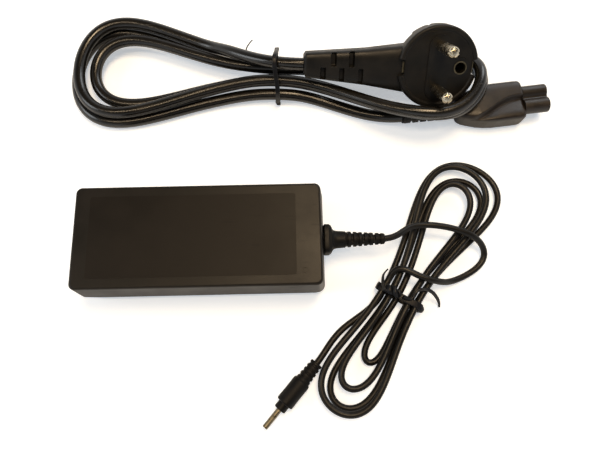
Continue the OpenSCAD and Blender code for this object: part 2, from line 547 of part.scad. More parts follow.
// A thin slice of the handle, at a distance from the plug's centre.
module handle_slice(x, w, h) { translate([-x, 0, -handle_back]) rotate([90, 0, 90]) linear_extrude(height = 1) offset(r = 2.6, $fn = 32) square([w - 5.2, h - 5.2], center = true); }
module mains_plug_body() {
    color("#2b2823") at_mains_plug() difference() {
        union() {
            // round body, drawn in towards its back
            rotate_extrude() polygon([[0, -plug_t], [plug_d / 2 - 5.6, -plug_t], [plug_d / 2 - 3.2, -plug_t + 1.4], [plug_d / 2 - 1.3, -plug_t + 4],
                [plug_d / 2 - 0.3, -plug_t + 7], [plug_d / 2, -plug_t + 9], [plug_d / 2, -1.2], [plug_d / 2 - 1.2, 0], [0, 0]]);
            // tapered handle with a flat top
            hull() {
                handle_slice(plug_d / 2 - 5, handle_root, 14);
                handle_slice(plug_d / 2 + 14, handle_root - 4.5, 11.5);
            }
            hull() {
                handle_slice(plug_d / 2 + 14, handle_root - 4.5, 11.5);
                handle_slice(handle_reach, handle_w, 9.8);
            }
        }
        // staggered bend slots, cut from both sides down to the cord's sheath
        difference() {
            union() {
                for (p = slots_up) translate([-handle_reach + p - slot_w / 2, 0.4, -handle_back - 10]) cube([slot_w, 15, 20]);
                for (p = slots_down) translate([-handle_reach + p - slot_w / 2, -15.4, -handle_back - 10]) cube([slot_w, 15, 20]);
            }
            translate([-handle_reach - 1, 0, -handle_back]) rotate([0, 90, 0]) cylinder(d = ac_d + 0.6, h = handle_reach);
        }
        // notches for the side earth contacts
        for (s = [-1, 1]) translate([s > 0 ? plug_d / 2 - 3 : -plug_d / 2 - 1, -3.2, -11]) cube([4, 6.4, s > 0 ? 12 : 12]);
        // seat of the pin carrier
        translate([0, 0, -3]) linear_extrude(height = 4) carrier_outline(0.1);
        translate([earth_off, 0, -earth_l]) cylinder(d = earth_d + 1, h = earth_l + 1);
    }
}
module carrier_outline(g) {
    offset(r = g) union() {
        square([10, pin_gap + 3.2], center = true);
        for (y = [-1, 1]) translate([0, y * pin_gap / 2]) circle(r = 5);
        translate([earth_off / 2, 0]) square([earth_off, 8.6], center = true);
        translate([earth_off, 0]) circle(r = 4.3);
    }
}
module mains_plug_carrier() {
    color("#211f1b") at_mains_plug() difference() {
        translate([0, 0, -3]) linear_extrude(height = 3) carrier_outline(0);
        translate([earth_off, 0, -4]) cylinder(d = earth_d + 1, h = 6);
    }
}
module mains_plug_pins() {
    color("#b9ae8e") at_mains_plug() for (y = [-1, 1]) translate([0, y * pin_gap / 2, 0]) rotate_extrude() polygon([[0, 0], [pin_d / 2, 0],
        [pin_d / 2, pin_l - 1.4], [pin_d / 2 - 0.4, pin_l - 0.6], [pin_d / 2 - 1.2, pin_l], [0, pin_l]]);
}
module mains_earth_socket() {
    color("#b9ae8e") at_mains_plug() translate([earth_off, 0, -earth_l]) difference() {
        cylinder(d = earth_d + 1, h = earth_l + 0.4);
        translate([0, 0, -1]) cylinder(d = earth_d, h = earth_l + 3);
    }
}
module mains_earth_clips() {
    color("#b9ae8e") at_mains_plug() for (s = [-1, 1]) translate([s * (plug_d / 2 - 2.55), 0, -10.95]) {
        translate([-0.4, -2.4, 0]) cube([0.8, 4.8, 9.6]);
        translate([s > 0 ? 0 : -0.9, -2.4, 3]) cube([0.9, 4.8, 3.4]);
    }
}
module at_connector() { translate(conn_pos) rotate([0, 0, conn_yaw]) children(); }
module connector_body() {
    color("#2b2823") at_connector() {
        // waisted grip: narrow behind, full width at the front
        intersection() {
            translate([0, 0, -conn_h / 2]) linear_extrude(height = conn_h) polygon([[0, -5.4], [3, -6.6], [10, -8.6], [17, conn_w / -2], [conn_l - 4, conn_w / -2],
                [conn_l, conn_w / -2 + 2.4], [conn_l, conn_w / 2 - 0.6], [conn_l - 0.6, conn_w / 2], [20, conn_w / 2 - 0.4], [12, 8.4], [5, 6.4], [0, 5.4]]);
            rotate([90, 0, 0]) translate([0, 0, -conn_w]) linear_extrude(height = 2 * conn_w) polygon([[0, -conn_h / 2 + 1], [1.2, -conn_h / 2], [conn_l, -conn_h / 2],
                [conn_l, conn_h / 2 - 0.5], [conn_l - 0.5, conn_h / 2], [9, conn_h / 2], [4, conn_h / 2 - 0.6], [0, conn_h / 2 - 2.2]]);
        }
    }
}
module connector_relief() {
    n = 6;
    p = (conn_relief_l - 3) / n;
    color("#211f1b") at_connector() rotate([0, -90, 0]) rotate_extrude() polygon(concat([[0, 0], [4, 0], [4, 1.6]],
        [for (i = [0:n - 1]) let (z = 1.6 + i * p, r = 4 - i * 0.09) each [[r - 0.8, z + 0.2], [r - 0.8, z + 1.2], [r, z + 1.5], [r, z + p]]],
        [[3.3, conn_relief_l], [0, conn_relief_l]]));
}
module connector_nose() {
    color("#27251f") at_connector() translate([conn_l, 0, 0]) difference() {
        rotate([90, 0, 90]) linear_extrude(height = cnose_l) clover(lobe_r - clover_gap);
        at_poles() rotate([0, 90, 0]) {
            translate([0, 0, 1]) cylinder(d = contact_d + 1, h = cnose_l - 4);
            cylinder(d = contact_d + 0.4, h = cnose_l + 1);
        }
    }
}
module connector_contacts() {
    color("#b9ae8e") at_connector() translate([conn_l, 0, 0]) at_poles() translate([1, 0, 0]) rotate([0, 90, 0]) difference() {
        cylinder(d = contact_d + 1, h = cnose_l - 4);
        translate([0, 0, 1]) cylinder(d = contact_d, h = cnose_l);
    }
}
module mains_tie() {
    hw = 1.25 * ac_step + ac_d / 2 + wire_tie_d / 2 + 0.9;
    r = wire_tie_d / 2;
    y0 = 85.6;
    oy = over_tie[1] - y0;
    k = ac_d / 2 + r + 0.35;
    pts = [for (q = [[-hw, 3], [-hw, 11.5], [-hw + 3, 16.5], [oy - 0.92 * k, over_tie[2] + 0.5 * k], [oy, over_tie[2] + k],
        [oy + 0.92 * k, over_tie[2] + 0.5 * k], [hw - 2, 14.2], [hw, 10.5], [hw, 3], [hw - 2.3, r - 0.6], [-hw + 2.3, r - 0.6]])
        [over_tie[0], y0 + q[0], max(q[1], r)]];
    color("#1a1917") {
        tube(spline(concat(pts, [pts[0] + [1.7, 0, 0]]), 3), r, 6, [1, 0, 0]);
        // free end, led out under the lowest strands
        tube(spline([[33, 88, r], [28, 91.5, 0.42], [22, 97, 0.42], [17.4, 101.9, 0.5], [17.3, 104, 2.6], [19, 105.4, 5], [20.8, 106.1, 7]], 3), 0.4, 6);
    }
}

top_shell();
bottom_shell();
rating_label();
inlet_socket();
inlet_pins();
inlet_wires();
circuit_board();
insulation_sheet();
fuse();
varistor();
x_capacitor();
common_mode_choke();
choke_windings();
bridge_rectifier();
bulk_capacitor();
primary_heatsink();
switching_transistor();
control_chip();
transformer_core();
transformer_winding();
y_capacitor();
optocoupler();
secondary_heatsink();
output_rectifier();
output_capacitors();
output_wires();
dc_strain_relief();
dc_cord_lead();
dc_cord_hank();
dc_cord_tail();
dc_plug_grip();
dc_plug_barrel();
dc_plug_insulator();
dc_tie();
mains_plug_body();
mains_plug_carrier();
mains_plug_pins();
mains_earth_clips();
mains_earth_socket();
mains_cord_plug_end();
mains_cord_hank();
mains_cord_connector_end();
connector_relief();
connector_body();
connector_nose();
connector_contacts();
mains_tie();
union() {
    dc_fine = [for (i = [0:dc_turns * 100]) dc_point(i / 100)];
    ac_fine = [for (i = [0:240]) ac_point(ac_first + (ac_last - ac_first) * i / 240)];
    echo(dc_hank_gap = self_gap(dc_fine, 8) - dc_d);
    echo(mains_hank_gap = self_gap(ac_fine, 15) - ac_d);
}
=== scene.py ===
import bpy
import bmesh
import math
import numpy as np
from mathutils import Matrix, Vector


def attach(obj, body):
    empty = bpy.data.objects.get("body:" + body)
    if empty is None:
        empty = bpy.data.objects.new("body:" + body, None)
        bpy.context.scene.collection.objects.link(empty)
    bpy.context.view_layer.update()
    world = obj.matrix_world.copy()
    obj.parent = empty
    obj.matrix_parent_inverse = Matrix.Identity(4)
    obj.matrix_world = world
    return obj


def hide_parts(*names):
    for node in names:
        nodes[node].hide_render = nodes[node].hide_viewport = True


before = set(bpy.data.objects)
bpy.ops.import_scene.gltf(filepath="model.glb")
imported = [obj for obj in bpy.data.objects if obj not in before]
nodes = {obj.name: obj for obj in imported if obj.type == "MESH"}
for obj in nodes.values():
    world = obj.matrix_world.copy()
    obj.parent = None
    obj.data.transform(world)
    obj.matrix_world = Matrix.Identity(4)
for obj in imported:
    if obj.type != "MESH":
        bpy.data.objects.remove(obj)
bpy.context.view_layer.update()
print("frame loaded:", len(nodes), "CAD nodes")
mm = 0.001

# above the housing, leaning a little towards the mains lead
camera = {"lens": 30.45, "sensor": 36.0, "place": (41.567, -47.818, 233.76),
          "right": (0.99976, -0.02182, 0.0), "forward": (0.00530, 0.24271, -0.97008)}


def makeCamera(c):
    data = bpy.data.cameras.new("camera")
    data.lens, data.sensor_width = c["lens"], c["sensor"]
    data.clip_start, data.clip_end = 0.01, 5.0
    cam = bpy.data.objects.new("camera", data)
    bpy.context.scene.collection.objects.link(cam)
    right = Vector(c["right"]).normalized()
    back = -Vector(c["forward"]).normalized()
    up = back.cross(right)
    turn = Matrix((right, up, back)).transposed().to_4x4()
    cam.matrix_world = Matrix.Translation(Vector(c["place"]) * mm) @ turn
    bpy.context.scene.camera = cam
    return cam


makeCamera(camera)


def smoothStep(a, b, x):
    q = np.clip((x - a) / (b - a), 0, 1)
    return q * q * (3 - 2 * q)


def unit(v):
    v = np.asarray(v, float)
    return v / np.linalg.norm(v)


def spline(points, steps):
    # uniform Catmull-Rom: each span is the cubic through its two points with slopes from their neighbours
    p = np.asarray(points, float)
    m = len(p)
    i = np.arange(m - 1)
    a, b, c, d = p[np.maximum(i - 1, 0)], p[i], p[i + 1], p[np.minimum(i + 2, m - 1)]
    t = (np.arange(steps) / steps)[None, :, None]
    a, b, c, d = a[:, None], b[:, None], c[:, None], d[:, None]
    q = 0.5 * (2 * b + (c - a) * t + (2 * a - 5 * b + 4 * c - d) * t ** 2 + (3 * b - a - 3 * c + d) * t ** 3)
    return np.vstack([q.reshape(-1, 3), p[-1:]])


def evenly(points, gap):
    # the same line with points a fixed distance apart along it
    run = np.concatenate([[0], np.cumsum(np.linalg.norm(np.diff(points, axis=0), axis=1))])
    s = np.linspace(0, run[-1], max(2, int(round(run[-1] / gap)) + 1))
    return np.stack([np.interp(s, run, points[:, k]) for k in range(3)], 1)


def eased(points, gap, reach):
    # each point becomes the bell-weighted mean of its neighbours along the line;
    # the ends stay where they are
    p = evenly(points, gap)
    k = int(round(3 * reach / gap))
    bell = np.exp(-0.5 * (np.arange(-k, k + 1) * gap / reach) ** 2)
    bell /= bell.sum()
    wide = np.vstack([2 * p[0] - p[k:0:-1], p, 2 * p[-1] - p[-2:-k - 2:-1]])
    return np.stack([np.convolve(wide[:, c], bell, "valid") for c in range(3)], 1)


# ease is the reach of the smoothing; around and gap are the points round and along the tube
dc = {"d": 2.9, "step": 3.48, "rise": 3.4, "middle": 2.0, "tie": 0.7, "turns": 4,
      "plugAt": (48.9, -52.6, 4.0), "plugDir": (-0.661, -0.75, 0.0), "exit": (80.0, 0.0, 14.5),
      "easeGap": 0.8, "ease": 2.8, "around": 18, "gap": 1.2}


def dcLoop(t):
    # s runs along the hank and w across it; reach and belly grow away from the middle turn
    a = 2 * np.pi * t
    u = np.abs(t - dc["middle"])
    layer = 1 - smoothStep(1.76, 2.26, t)
    low = np.sin(a) > 1e-9
    reach = np.where(low, 23.5 + 39 * u - 11.4 * u * u, 59.5 + 8.3 * u)
    belly = np.where(low, 3.7 + 9.6 * u, 16.8 + 9.2 * u)
    s = -reach * np.sin(a)
    w = 0.8 - np.cos(a) * (dc["step"] * (0.51 + u) + belly * np.sin(a) ** 2)
    w = w - 0.6 * (1 - smoothStep(0, 0.2, t))
    w = w + np.where(s > 0, (3.6 - 5.3 * layer) * (s / 70) ** 2, -2 * (s / 60) ** 2)
    z = dc["d"] / 2 + dc["rise"] * layer + (dc["tie"] + 0.1) * (1 - smoothStep(5, 20, np.abs(s)))
    return np.stack([87 + 0.53 * s + 0.848 * w, -25 + 0.848 * s - 0.53 * w, z], 1)


def dcRoute():
    loops = dcLoop(np.linspace(0, dc["turns"], dc["turns"] * 96 + 1))
    inward, outward = unit(loops[4] - loops[0]), unit(loops[-1] - loops[-5])
    start, end = loops[0] - dc["d"] * inward, loops[-1] + dc["d"] * outward
    lead = [(80 + dc["d"], 0, 14.5), (87.5, 2.4, 13.4), (91.5, 5.6, 11.4), (97, 7, 10.2),
            (103, 6.8, 10.2), (109.5, 5.8, 10), (116, 4, 9.6), (121.4, 1.8, 8.6), (126.2, -1.4, 5),
            (128.4, -5.6, 2.2), (126.2, -10.2, 1.6), (120, -14.6, 1.6), (113, -17.6, 1.9),
            (107.8, -18.7, 4.6), (102.6, -18.4, 8.6), (96, -16.6, 9.4), (90, -13.2, 9.4),
            (85.4, -11.9, 8.6), start - dc["d"] * inward]
    tail = [end + dc["d"] * outward, (73, -29.8, 1.5), (67.5, -33.6, 1.5), (61.5, -37.6, 1.6),
            (56.4, -42.6, 2.4), np.array(dc["plugAt"]) - dc["d"] * unit(dc["plugDir"])]
    return np.vstack([[dc["exit"]], spline(lead, 8), [start], loops, [end], spline(tail, 8),
                      [dc["plugAt"]]])


ac = {"d": 5.6, "step": 6.36, "rise": 6.1, "middle": 1.25, "tilt": -3.3, "tie": 1.5, "first": 0.07,
      "last": 2.5, "easeGap": 1.0, "ease": 6.0, "around": 28, "gap": 1.6}
plug = {"place": (107.3, 76.3, 27.0), "turn": -2.0, "tilt": 42.0, "lean": 3.5, "reach": 61.0,
        "back": 9.0}
conn = {"place": (119.5, 65.2, 6.5), "yaw": 6.0, "relief": 26.0}


def acLoop(t):
    a = 2 * np.pi * t
    u = np.abs(t - ac["middle"])
    layer = 1 - smoothStep(1.05, 1.45, t)
    far = np.sin(a) > 1e-9
    reach = np.where(far, 91.5 + 6.6 * u + 3 * (1 - layer) * u, 99.4 - 2.7 * layer)
    belly = np.where(far, 42.2 + 13.9 * u, 36.8 + 8.2 * u + 1.1 * layer)
    s = -reach * np.sin(a)
    w = np.cos(a) * (ac["step"] * u + belly * np.sin(a) ** 2) - 1.2 * smoothStep(2.3, 2.5, t)
    bend = -7.5 * smoothStep(10, 60, s) + 4.2 * smoothStep(75, 100, s)
    w = w + np.where(s > 0, bend, -0.5 * smoothStep(0, 60, -s))
    k = math.radians(ac["tilt"])
    x = 33 + s * math.cos(k) - w * math.sin(k)
    y = 86.2 + s * math.sin(k) + w * math.cos(k)
    z = (ac["d"] / 2 + ac["rise"] * layer + (ac["tie"] + 0.1) * (1 - smoothStep(6, 30, np.abs(s)))
         + 13.8 * smoothStep(7.7, 79, s) * (1 - smoothStep(75.4, 100, y)))
    return np.stack([x, y, z], 1)


def turnAbout(axis, degrees):
    return Matrix.Rotation(math.radians(degrees), 3, axis)


plugTurn = turnAbout("Z", plug["turn"]) @ turnAbout("X", plug["tilt"]) @ turnAbout("Y", plug["lean"])


def fromPlug(p):
    # plug frame (pins along +Z, handle along -X) to the shared frame
    return np.asarray(p, float) @ np.array(plugTurn).T + np.array(plug["place"])


def fromConnector(p):
    # connector frame (nose along +X) to the shared frame
    return np.asarray(p, float) @ np.array(turnAbout("Z", conn["yaw"])).T + np.array(conn["place"])


def acRoute():
    loops = acLoop(np.linspace(ac["first"], ac["last"], 251))
    inward = unit(acLoop(np.array([ac["first"] + 0.002]))[0] - loops[0])
    k = math.radians(ac["tilt"])
    outward = np.array([math.cos(k), math.sin(k), 0.0])
    start, end = loops[0] - ac["d"] * inward, loops[-1] + ac["d"] * outward
    handleEnd = fromPlug([(-plug["reach"], 0, -plug["back"])])[0]
    handleDir = unit(fromPlug([(-plug["reach"] - 1, 0, -plug["back"])])[0] - handleEnd)
    connDir = unit(fromConnector([(1, 0, 0)])[0] - conn["place"])
    connEnd = np.array(conn["place"]) - conn["relief"] * connDir
    first = [handleEnd + ac["d"] * handleDir, (33, 83.6, 22.2), (24.5, 86.8, 19.8), (16, 91.2, 17.1),
             (8, 96.2, 14.4), start - ac["d"] * inward]
    last = [end + ac["d"] * outward, (50, 75.2, 3), (62, 70.8, 2.8), (74, 66.2, 3.2), (82, 63.4, 5),
            connEnd - ac["d"] * connDir]
    return np.vstack([[handleEnd], spline(first, 8), [start], loops, [end], spline(last, 8),
                      [connEnd]])


def linear(hexColour):
    # sRGB to linear light: c / 12.92 in the toe, ((c + 0.055) / 1.055) ** 2.4 above it
    c = np.array([int(hexColour[i:i + 2], 16) for i in (1, 3, 5)]) / 255
    return (*np.where(c <= 0.04045, c / 12.92, ((c + 0.055) / 1.055) ** 2.4).tolist(), 1.0)


def addNode(tree, kind, links=None, values=None, **settings):
    made = tree.nodes.new("ShaderNode" + kind)
    for key, value in settings.items():
        setattr(made, key, value)
    for key, value in (values or {}).items():
        made.inputs[key].default_value = value
    for key, source in (links or {}).items():
        tree.links.new(source, made.inputs[key])
    return made


def finish(name, look):
    # broad patches shift tone and gloss, fine grain is the bump, stretched noise gives hairline scuffs,
    # and rounded edges, where the normal leaves the main axes, are rubbed paler and shinier
    mat = bpy.data.materials.new(name)
    mat.use_nodes = True
    tree = mat.node_tree
    shader = tree.nodes["Principled BSDF"]
    place = addNode(tree, "TexCoord").outputs["Object"]
    broad = addNode(tree, "TexNoise", {"Vector": place},
                    {"Scale": 1000 / look["patch"], "Detail": 4.0, "Roughness": 0.6}).outputs["Fac"]
    patch = addNode(tree, "MapRange", {"Value": broad},
                    {"From Min": 0.35, "From Max": 0.65}).outputs["Result"]
    slant = addNode(tree, "Mapping", {"Vector": place}, {"Rotation": (0.2, 0.4, look.get("scuffTurn", 0.7)),
                                                         "Scale": (90, 1500, 700)}).outputs["Vector"]
    hair = addNode(tree, "TexNoise", {"Vector": slant}, {"Scale": 1.0, "Detail": 3.0}).outputs["Fac"]
    scuff = addNode(tree, "MapRange", {"Value": hair}, {"From Min": 0.66, "From Max": 0.74,
                                                        "To Max": look.get("scuff", 0.25)}).outputs["Result"]
    worn = linear(look.get("worn", look["pale"]))
    tone = addNode(tree, "Mix", {0: patch}, {6: linear(look["dark"]), 7: linear(look["pale"])},
                   data_type="RGBA").outputs[2]
    tone = addNode(tree, "Mix", {0: scuff, 6: tone}, {7: worn}, data_type="RGBA").outputs[2]
    low, high = look["rough"]
    rough = addNode(tree, "MapRange", {"Value": patch}, {"To Min": low, "To Max": high}).outputs["Result"]
    rough = addNode(tree, "Math", {0: rough, 1: scuff}, operation="ADD", use_clamp=True).outputs[0]
    if look.get("edge"):
        normal = addNode(tree, "NewGeometry").outputs["Normal"]
        part = addNode(tree, "VectorMath", {0: normal}, operation="ABSOLUTE").outputs["Vector"]
        axis = addNode(tree, "SeparateXYZ", {"Vector": part})
        most = addNode(tree, "Math", {0: axis.outputs[0], 1: axis.outputs[1]},
                       operation="MAXIMUM").outputs[0]
        most = addNode(tree, "Math", {0: most, 1: axis.outputs[2]}, operation="MAXIMUM").outputs[0]
        rubbed = addNode(tree, "MapRange", {"Value": most},
                         {"From Min": 0.985, "From Max": 0.88, "To Max": look["edge"]}).outputs["Result"]
        tone = addNode(tree, "Mix", {0: rubbed, 6: tone}, {7: worn}, data_type="RGBA").outputs[2]
        less = addNode(tree, "Math", {0: rubbed}, {1: 0.2}, operation="MULTIPLY").outputs[0]
        rough = addNode(tree, "Math", {0: rough, 1: less}, operation="SUBTRACT",
                        use_clamp=True).outputs[0]
    tree.links.new(tone, shader.inputs["Base Color"])
    tree.links.new(rough, shader.inputs["Roughness"])
    grain = addNode(tree, "TexNoise", {"Vector": place},
                    {"Scale": 1000 / look["grain"], "Detail": 2.5, "Roughness": 0.6}).outputs["Fac"]
    if look.get("lay"):
        # twisted cores show faintly through the sheath: a sine of run / pitch plus the angle round it
        uv = addNode(tree, "UVMap", uv_map="along").outputs["UV"]
        at = addNode(tree, "SeparateXYZ", {"Vector": uv})
        run = addNode(tree, "Math", {0: at.outputs[0]}, {1: 2 * math.pi / look["lay"]},
                      operation="MULTIPLY")
        turn = addNode(tree, "Math", {0: at.outputs[1]}, {1: 2 * math.pi * 3}, operation="MULTIPLY")
        both = addNode(tree, "Math", {0: run.outputs[0], 1: turn.outputs[0]}, operation="ADD")
        wave = addNode(tree, "Math", {0: both.outputs[0]}, operation="SINE")
        grain = addNode(tree, "Math", {0: wave.outputs[0], 2: grain}, {1: look["swell"] / look["depth"]},
                        operation="MULTIPLY_ADD").outputs[0]
    bump = addNode(tree, "Bump", {"Height": grain}, {"Strength": 1.0, "Distance": look["depth"] * mm})
    tree.links.new(bump.outputs["Normal"], shader.inputs["Normal"])
    shader.inputs["Metallic"].default_value = look.get("metal", 0.0)
    if not look.get("metal"):
        shader.inputs["IOR"].default_value = 1.5
        shader.inputs["Specular IOR Level"].default_value = look.get("gloss", 0.35)
    mat.diffuse_color = linear(look["dark"])
    return mat


materials = {
    # ABS, injection moulded in a spark-eroded tool: fine even sparkle, softly blurred reflections,
    # rubbed edges
    "housingAbs": {"dark": "#0b0a08", "pale": "#120f0c", "worn": "#26221b", "rough": (0.38, 0.47),
                   "patch": 22, "gloss": 0.21, "grain": 0.45, "depth": 0.012, "edge": 0.55,
                   "scuff": 0.2},
    # matt black polyester film, printed side up: flatter and a little browner than the plastic round it
    "labelFilm": {"dark": "#100d0a", "pale": "#16120e", "rough": (0.44, 0.52), "patch": 30, "grain": 0.9,
                  "gloss": 0.15, "depth": 0.004, "scuff": 0.15, "scuffTurn": -0.3},
    # glass-filled nylon of the coupler: dull and slightly streaky
    "couplerNylon": {"dark": "#0b0b0b", "pale": "#121211", "rough": (0.5, 0.62), "patch": 9,
                     "grain": 0.3, "depth": 0.015},
    # nickel-plated brass, turned: warm pale metal with fine turning marks and handling haze
    "nickelPlatedBrass": {"dark": "#a89c82", "pale": "#cfc6b2", "rough": (0.16, 0.3), "patch": 3,
                          "grain": 0.25, "depth": 0.006, "metal": 1.0},
    # the same plating on stamped contacts, tarnished where no hand reaches
    "contactBrass": {"dark": "#5c5443", "pale": "#8b8168", "rough": (0.26, 0.42), "patch": 2,
                     "grain": 0.25, "depth": 0.01, "metal": 1.0},
    # thin gold-toned plating on a drawn tube: yellowish, a little worn
    "drawnBarrelBrass": {"dark": "#6f6552", "pale": "#958b74", "rough": (0.22, 0.38), "patch": 2.5,
                         "grain": 0.2, "depth": 0.006, "metal": 1.0},
    # soft thermoplastic rubber of the low-voltage boots: deep satin black with a bloom
    "bootRubber": {"dark": "#0a0a0a", "pale": "#0f0e0e", "worn": "#1b1916", "rough": (0.42, 0.56),
                   "patch": 6, "gloss": 0.17, "grain": 0.3, "depth": 0.015},
    # extruded PVC sheath of the thin twin lead: satin, with faint cores under it
    "satinCordPvc": {"dark": "#0b0a08", "pale": "#13110e", "rough": (0.34, 0.44), "patch": 11,
                     "grain": 0.35, "gloss": 0.28, "depth": 0.01, "lay": 0.032, "swell": 0.018},
    # extruded PVC sheath of the mains lead: glossy, so every strand carries one long soft highlight
    "glossyCordPvc": {"dark": "#0b0a07", "pale": "#14110c", "rough": (0.2, 0.27), "patch": 16,
                      "grain": 0.6, "gloss": 0.6, "depth": 0.008, "lay": 0.055, "swell": 0.03},
    # PVC moulded over the plug and the connector: leathery satin, knocked edges
    "mouldedPlugPvc": {"dark": "#0c0b09", "pale": "#14120f", "worn": "#211d18", "rough": (0.38, 0.52),
                       "patch": 8, "gloss": 0.27, "grain": 0.4, "depth": 0.018},
    # the same moulding compound on the connector in a lighter, browner copy whose extra warmth is painted
    # sheen of the warm lamp; it is also glossier than the plug
    "connectorPvcPaintedSheen": {"dark": "#17120d", "pale": "#241c14", "worn": "#2f261c", "rough": (0.34, 0.46),
                     "patch": 7, "gloss": 0.45, "grain": 0.4, "depth": 0.015},
    # stiff PVC insert that holds the pins: smoother and a touch glossier than the body
    "pinCarrierPvc": {"dark": "#0b0a09", "pale": "#12110f", "rough": (0.34, 0.44), "patch": 6,
                      "grain": 0.35, "gloss": 0.3, "depth": 0.01},
    # plastic-coated wire tie, drawn flat: blue-black and waxy
    "tiePlastic": {"dark": "#07080c", "pale": "#0c0e14", "gloss": 0.26, "rough": (0.36, 0.5), "patch": 3,
                   "grain": 0.3, "depth": 0.02},
    # black liner pressed into the barrel
    "barrelLiner": {"dark": "#101010", "pale": "#191816", "rough": (0.45, 0.6), "patch": 2, "grain": 0.2,
                    "depth": 0.01},
    # paper-phenolic board, solder side lacquered
    "boardLaminate": {"dark": "#6b5a2a", "pale": "#86733a", "rough": (0.5, 0.65), "patch": 5,
                      "grain": 0.5, "depth": 0.02},
    # pressed fish-paper card
    "insulationCard": {"dark": "#b9a25c", "pale": "#cdb975", "rough": (0.6, 0.75), "patch": 4,
                       "grain": 0.4, "depth": 0.03},
    # phenolic caps and coated wires, dipped brown
    "dippedBrown": {"dark": "#44281a", "pale": "#563322", "rough": (0.4, 0.5), "patch": 3, "grain": 0.4,
                    "depth": 0.02},
    # blue epoxy dip on disc parts: lumpy and glossy
    "dippedBlue": {"dark": "#265a8c", "pale": "#3573aa", "rough": (0.28, 0.4), "patch": 3, "grain": 0.8,
                   "depth": 0.05},
    # yellow polyester tape and boxes
    "yellowFilm": {"dark": "#b8922f", "pale": "#d2ae45", "rough": (0.3, 0.42), "patch": 4, "grain": 0.6,
                   "depth": 0.02},
    # sintered ferrite, ground: charcoal with a dry grain
    "groundFerrite": {"dark": "#2b2b2c", "pale": "#3a3a3a", "rough": (0.55, 0.7), "patch": 3,
                      "grain": 0.25, "depth": 0.03},
    # enamelled copper wire, wound
    "enamelledCopper": {"dark": "#8e4a20", "pale": "#b76a34", "rough": (0.2, 0.32), "patch": 2,
                        "grain": 0.5, "depth": 0.08, "metal": 1.0},
    # black moulded epoxy packages
    "epoxyBlack": {"dark": "#191919", "pale": "#242424", "rough": (0.5, 0.6), "patch": 3, "grain": 0.25,
                   "depth": 0.02},
    # heat-shrunk sleeve over an aluminium can
    "shrunkSleeve": {"dark": "#1c2a45", "pale": "#283a5c", "rough": (0.25, 0.35), "patch": 4,
                     "grain": 0.8, "depth": 0.02},
    # rolled aluminium sheet: brushed one way
    "rolledAluminium": {"dark": "#8f9091", "pale": "#b0b1b2", "rough": (0.28, 0.42), "patch": 4,
                        "grain": 0.3, "depth": 0.02, "metal": 1.0},
    # white moulded epoxy of the coupler chip
    "epoxyWhite": {"dark": "#d9d5c6", "pale": "#e8e4d6", "rough": (0.45, 0.55), "patch": 2,
                   "grain": 0.25, "depth": 0.02},
    # PVC sleeves of the inner wires
    "innerSleeve": {"dark": "#5a1f1a", "pale": "#7a2d25", "rough": (0.4, 0.5), "patch": 2, "grain": 0.3,
                    "depth": 0.02},
}
madeOf = {name: finish(name, look) for name, look in materials.items()}
print("materials:", len(madeOf))

inside = {"inlet_wires": "innerSleeve", "circuit_board": "boardLaminate",
          "insulation_sheet": "insulationCard", "fuse": "dippedBrown", "varistor": "dippedBlue",
          "x_capacitor": "yellowFilm", "common_mode_choke": "groundFerrite",
          "choke_windings": "enamelledCopper", "bridge_rectifier": "epoxyBlack",
          "bulk_capacitor": "shrunkSleeve", "primary_heatsink": "rolledAluminium",
          "switching_transistor": "epoxyBlack", "control_chip": "epoxyBlack",
          "transformer_core": "groundFerrite", "transformer_winding": "yellowFilm",
          "y_capacitor": "dippedBlue", "optocoupler": "epoxyWhite",
          "secondary_heatsink": "rolledAluminium", "output_rectifier": "epoxyBlack",
          "output_capacitors": "shrunkSleeve", "output_wires": "innerSleeve"}


def paint(obj, material):
    obj.data.materials.clear()
    obj.data.materials.append(madeOf[material])


for name, material in inside.items():
    for spot in nodes[name].material_slots:
        spot.material = madeOf[material]


def putMesh(name, verts, faces, body, material, replaced=(), uv=None, sharp=40):
    # verts in millimetres in the shared frame; faces a list of index lists
    mesh = bpy.data.meshes.new(name)
    mesh.from_pydata((np.asarray(verts) * mm).tolist(), [], faces)
    if uv is not None:
        layer = mesh.uv_layers.new(name="along")
        corner = np.empty(len(mesh.loops), np.int32)
        mesh.loops.foreach_get("vertex_index", corner)
        layer.data.foreach_set("uv", np.asarray(uv, np.float32)[corner].ravel())
    mesh.shade_smooth()
    mesh.set_sharp_from_angle(angle=math.radians(sharp))
    obj = bpy.data.objects.new(name, mesh)
    bpy.context.scene.collection.objects.link(obj)
    paint(obj, material)
    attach(obj, body)
    if replaced:
        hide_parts(*replaced)
    return obj


# corners nearer than weld, in metres, become one; faces that meet flatter than flat, in degrees, join
cadClean = {"weld": 2e-6, "flat": 0.8}


def cadCopy(name, node, body, material, sharp=32, bevel=0.0):
    # the node's own triangles, merged into whole faces, smooth up to the sharp angle
    mesh = nodes[node].data.copy()
    mesh.name = name
    work = bmesh.new()
    work.from_mesh(mesh)
    bmesh.ops.remove_doubles(work, verts=work.verts, dist=cadClean["weld"])
    bmesh.ops.dissolve_limit(work, angle_limit=math.radians(cadClean["flat"]), verts=work.verts,
                             edges=work.edges)
    work.to_mesh(mesh)
    work.free()
    mesh.shade_smooth()
    mesh.set_sharp_from_angle(angle=math.radians(sharp))
    obj = bpy.data.objects.new(name, mesh)
    bpy.context.scene.collection.objects.link(obj)
    paint(obj, material)
    if bevel:
        soft = obj.modifiers.new("softEdges", "BEVEL")
        soft.width, soft.segments, soft.limit_method = bevel * mm, 2, "ANGLE"
        soft.angle_limit = math.radians(sharp)
    even = obj.modifiers.new("evenShade", "WEIGHTED_NORMAL")
    even.keep_sharp = True
    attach(obj, body)
    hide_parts(node)
    return obj


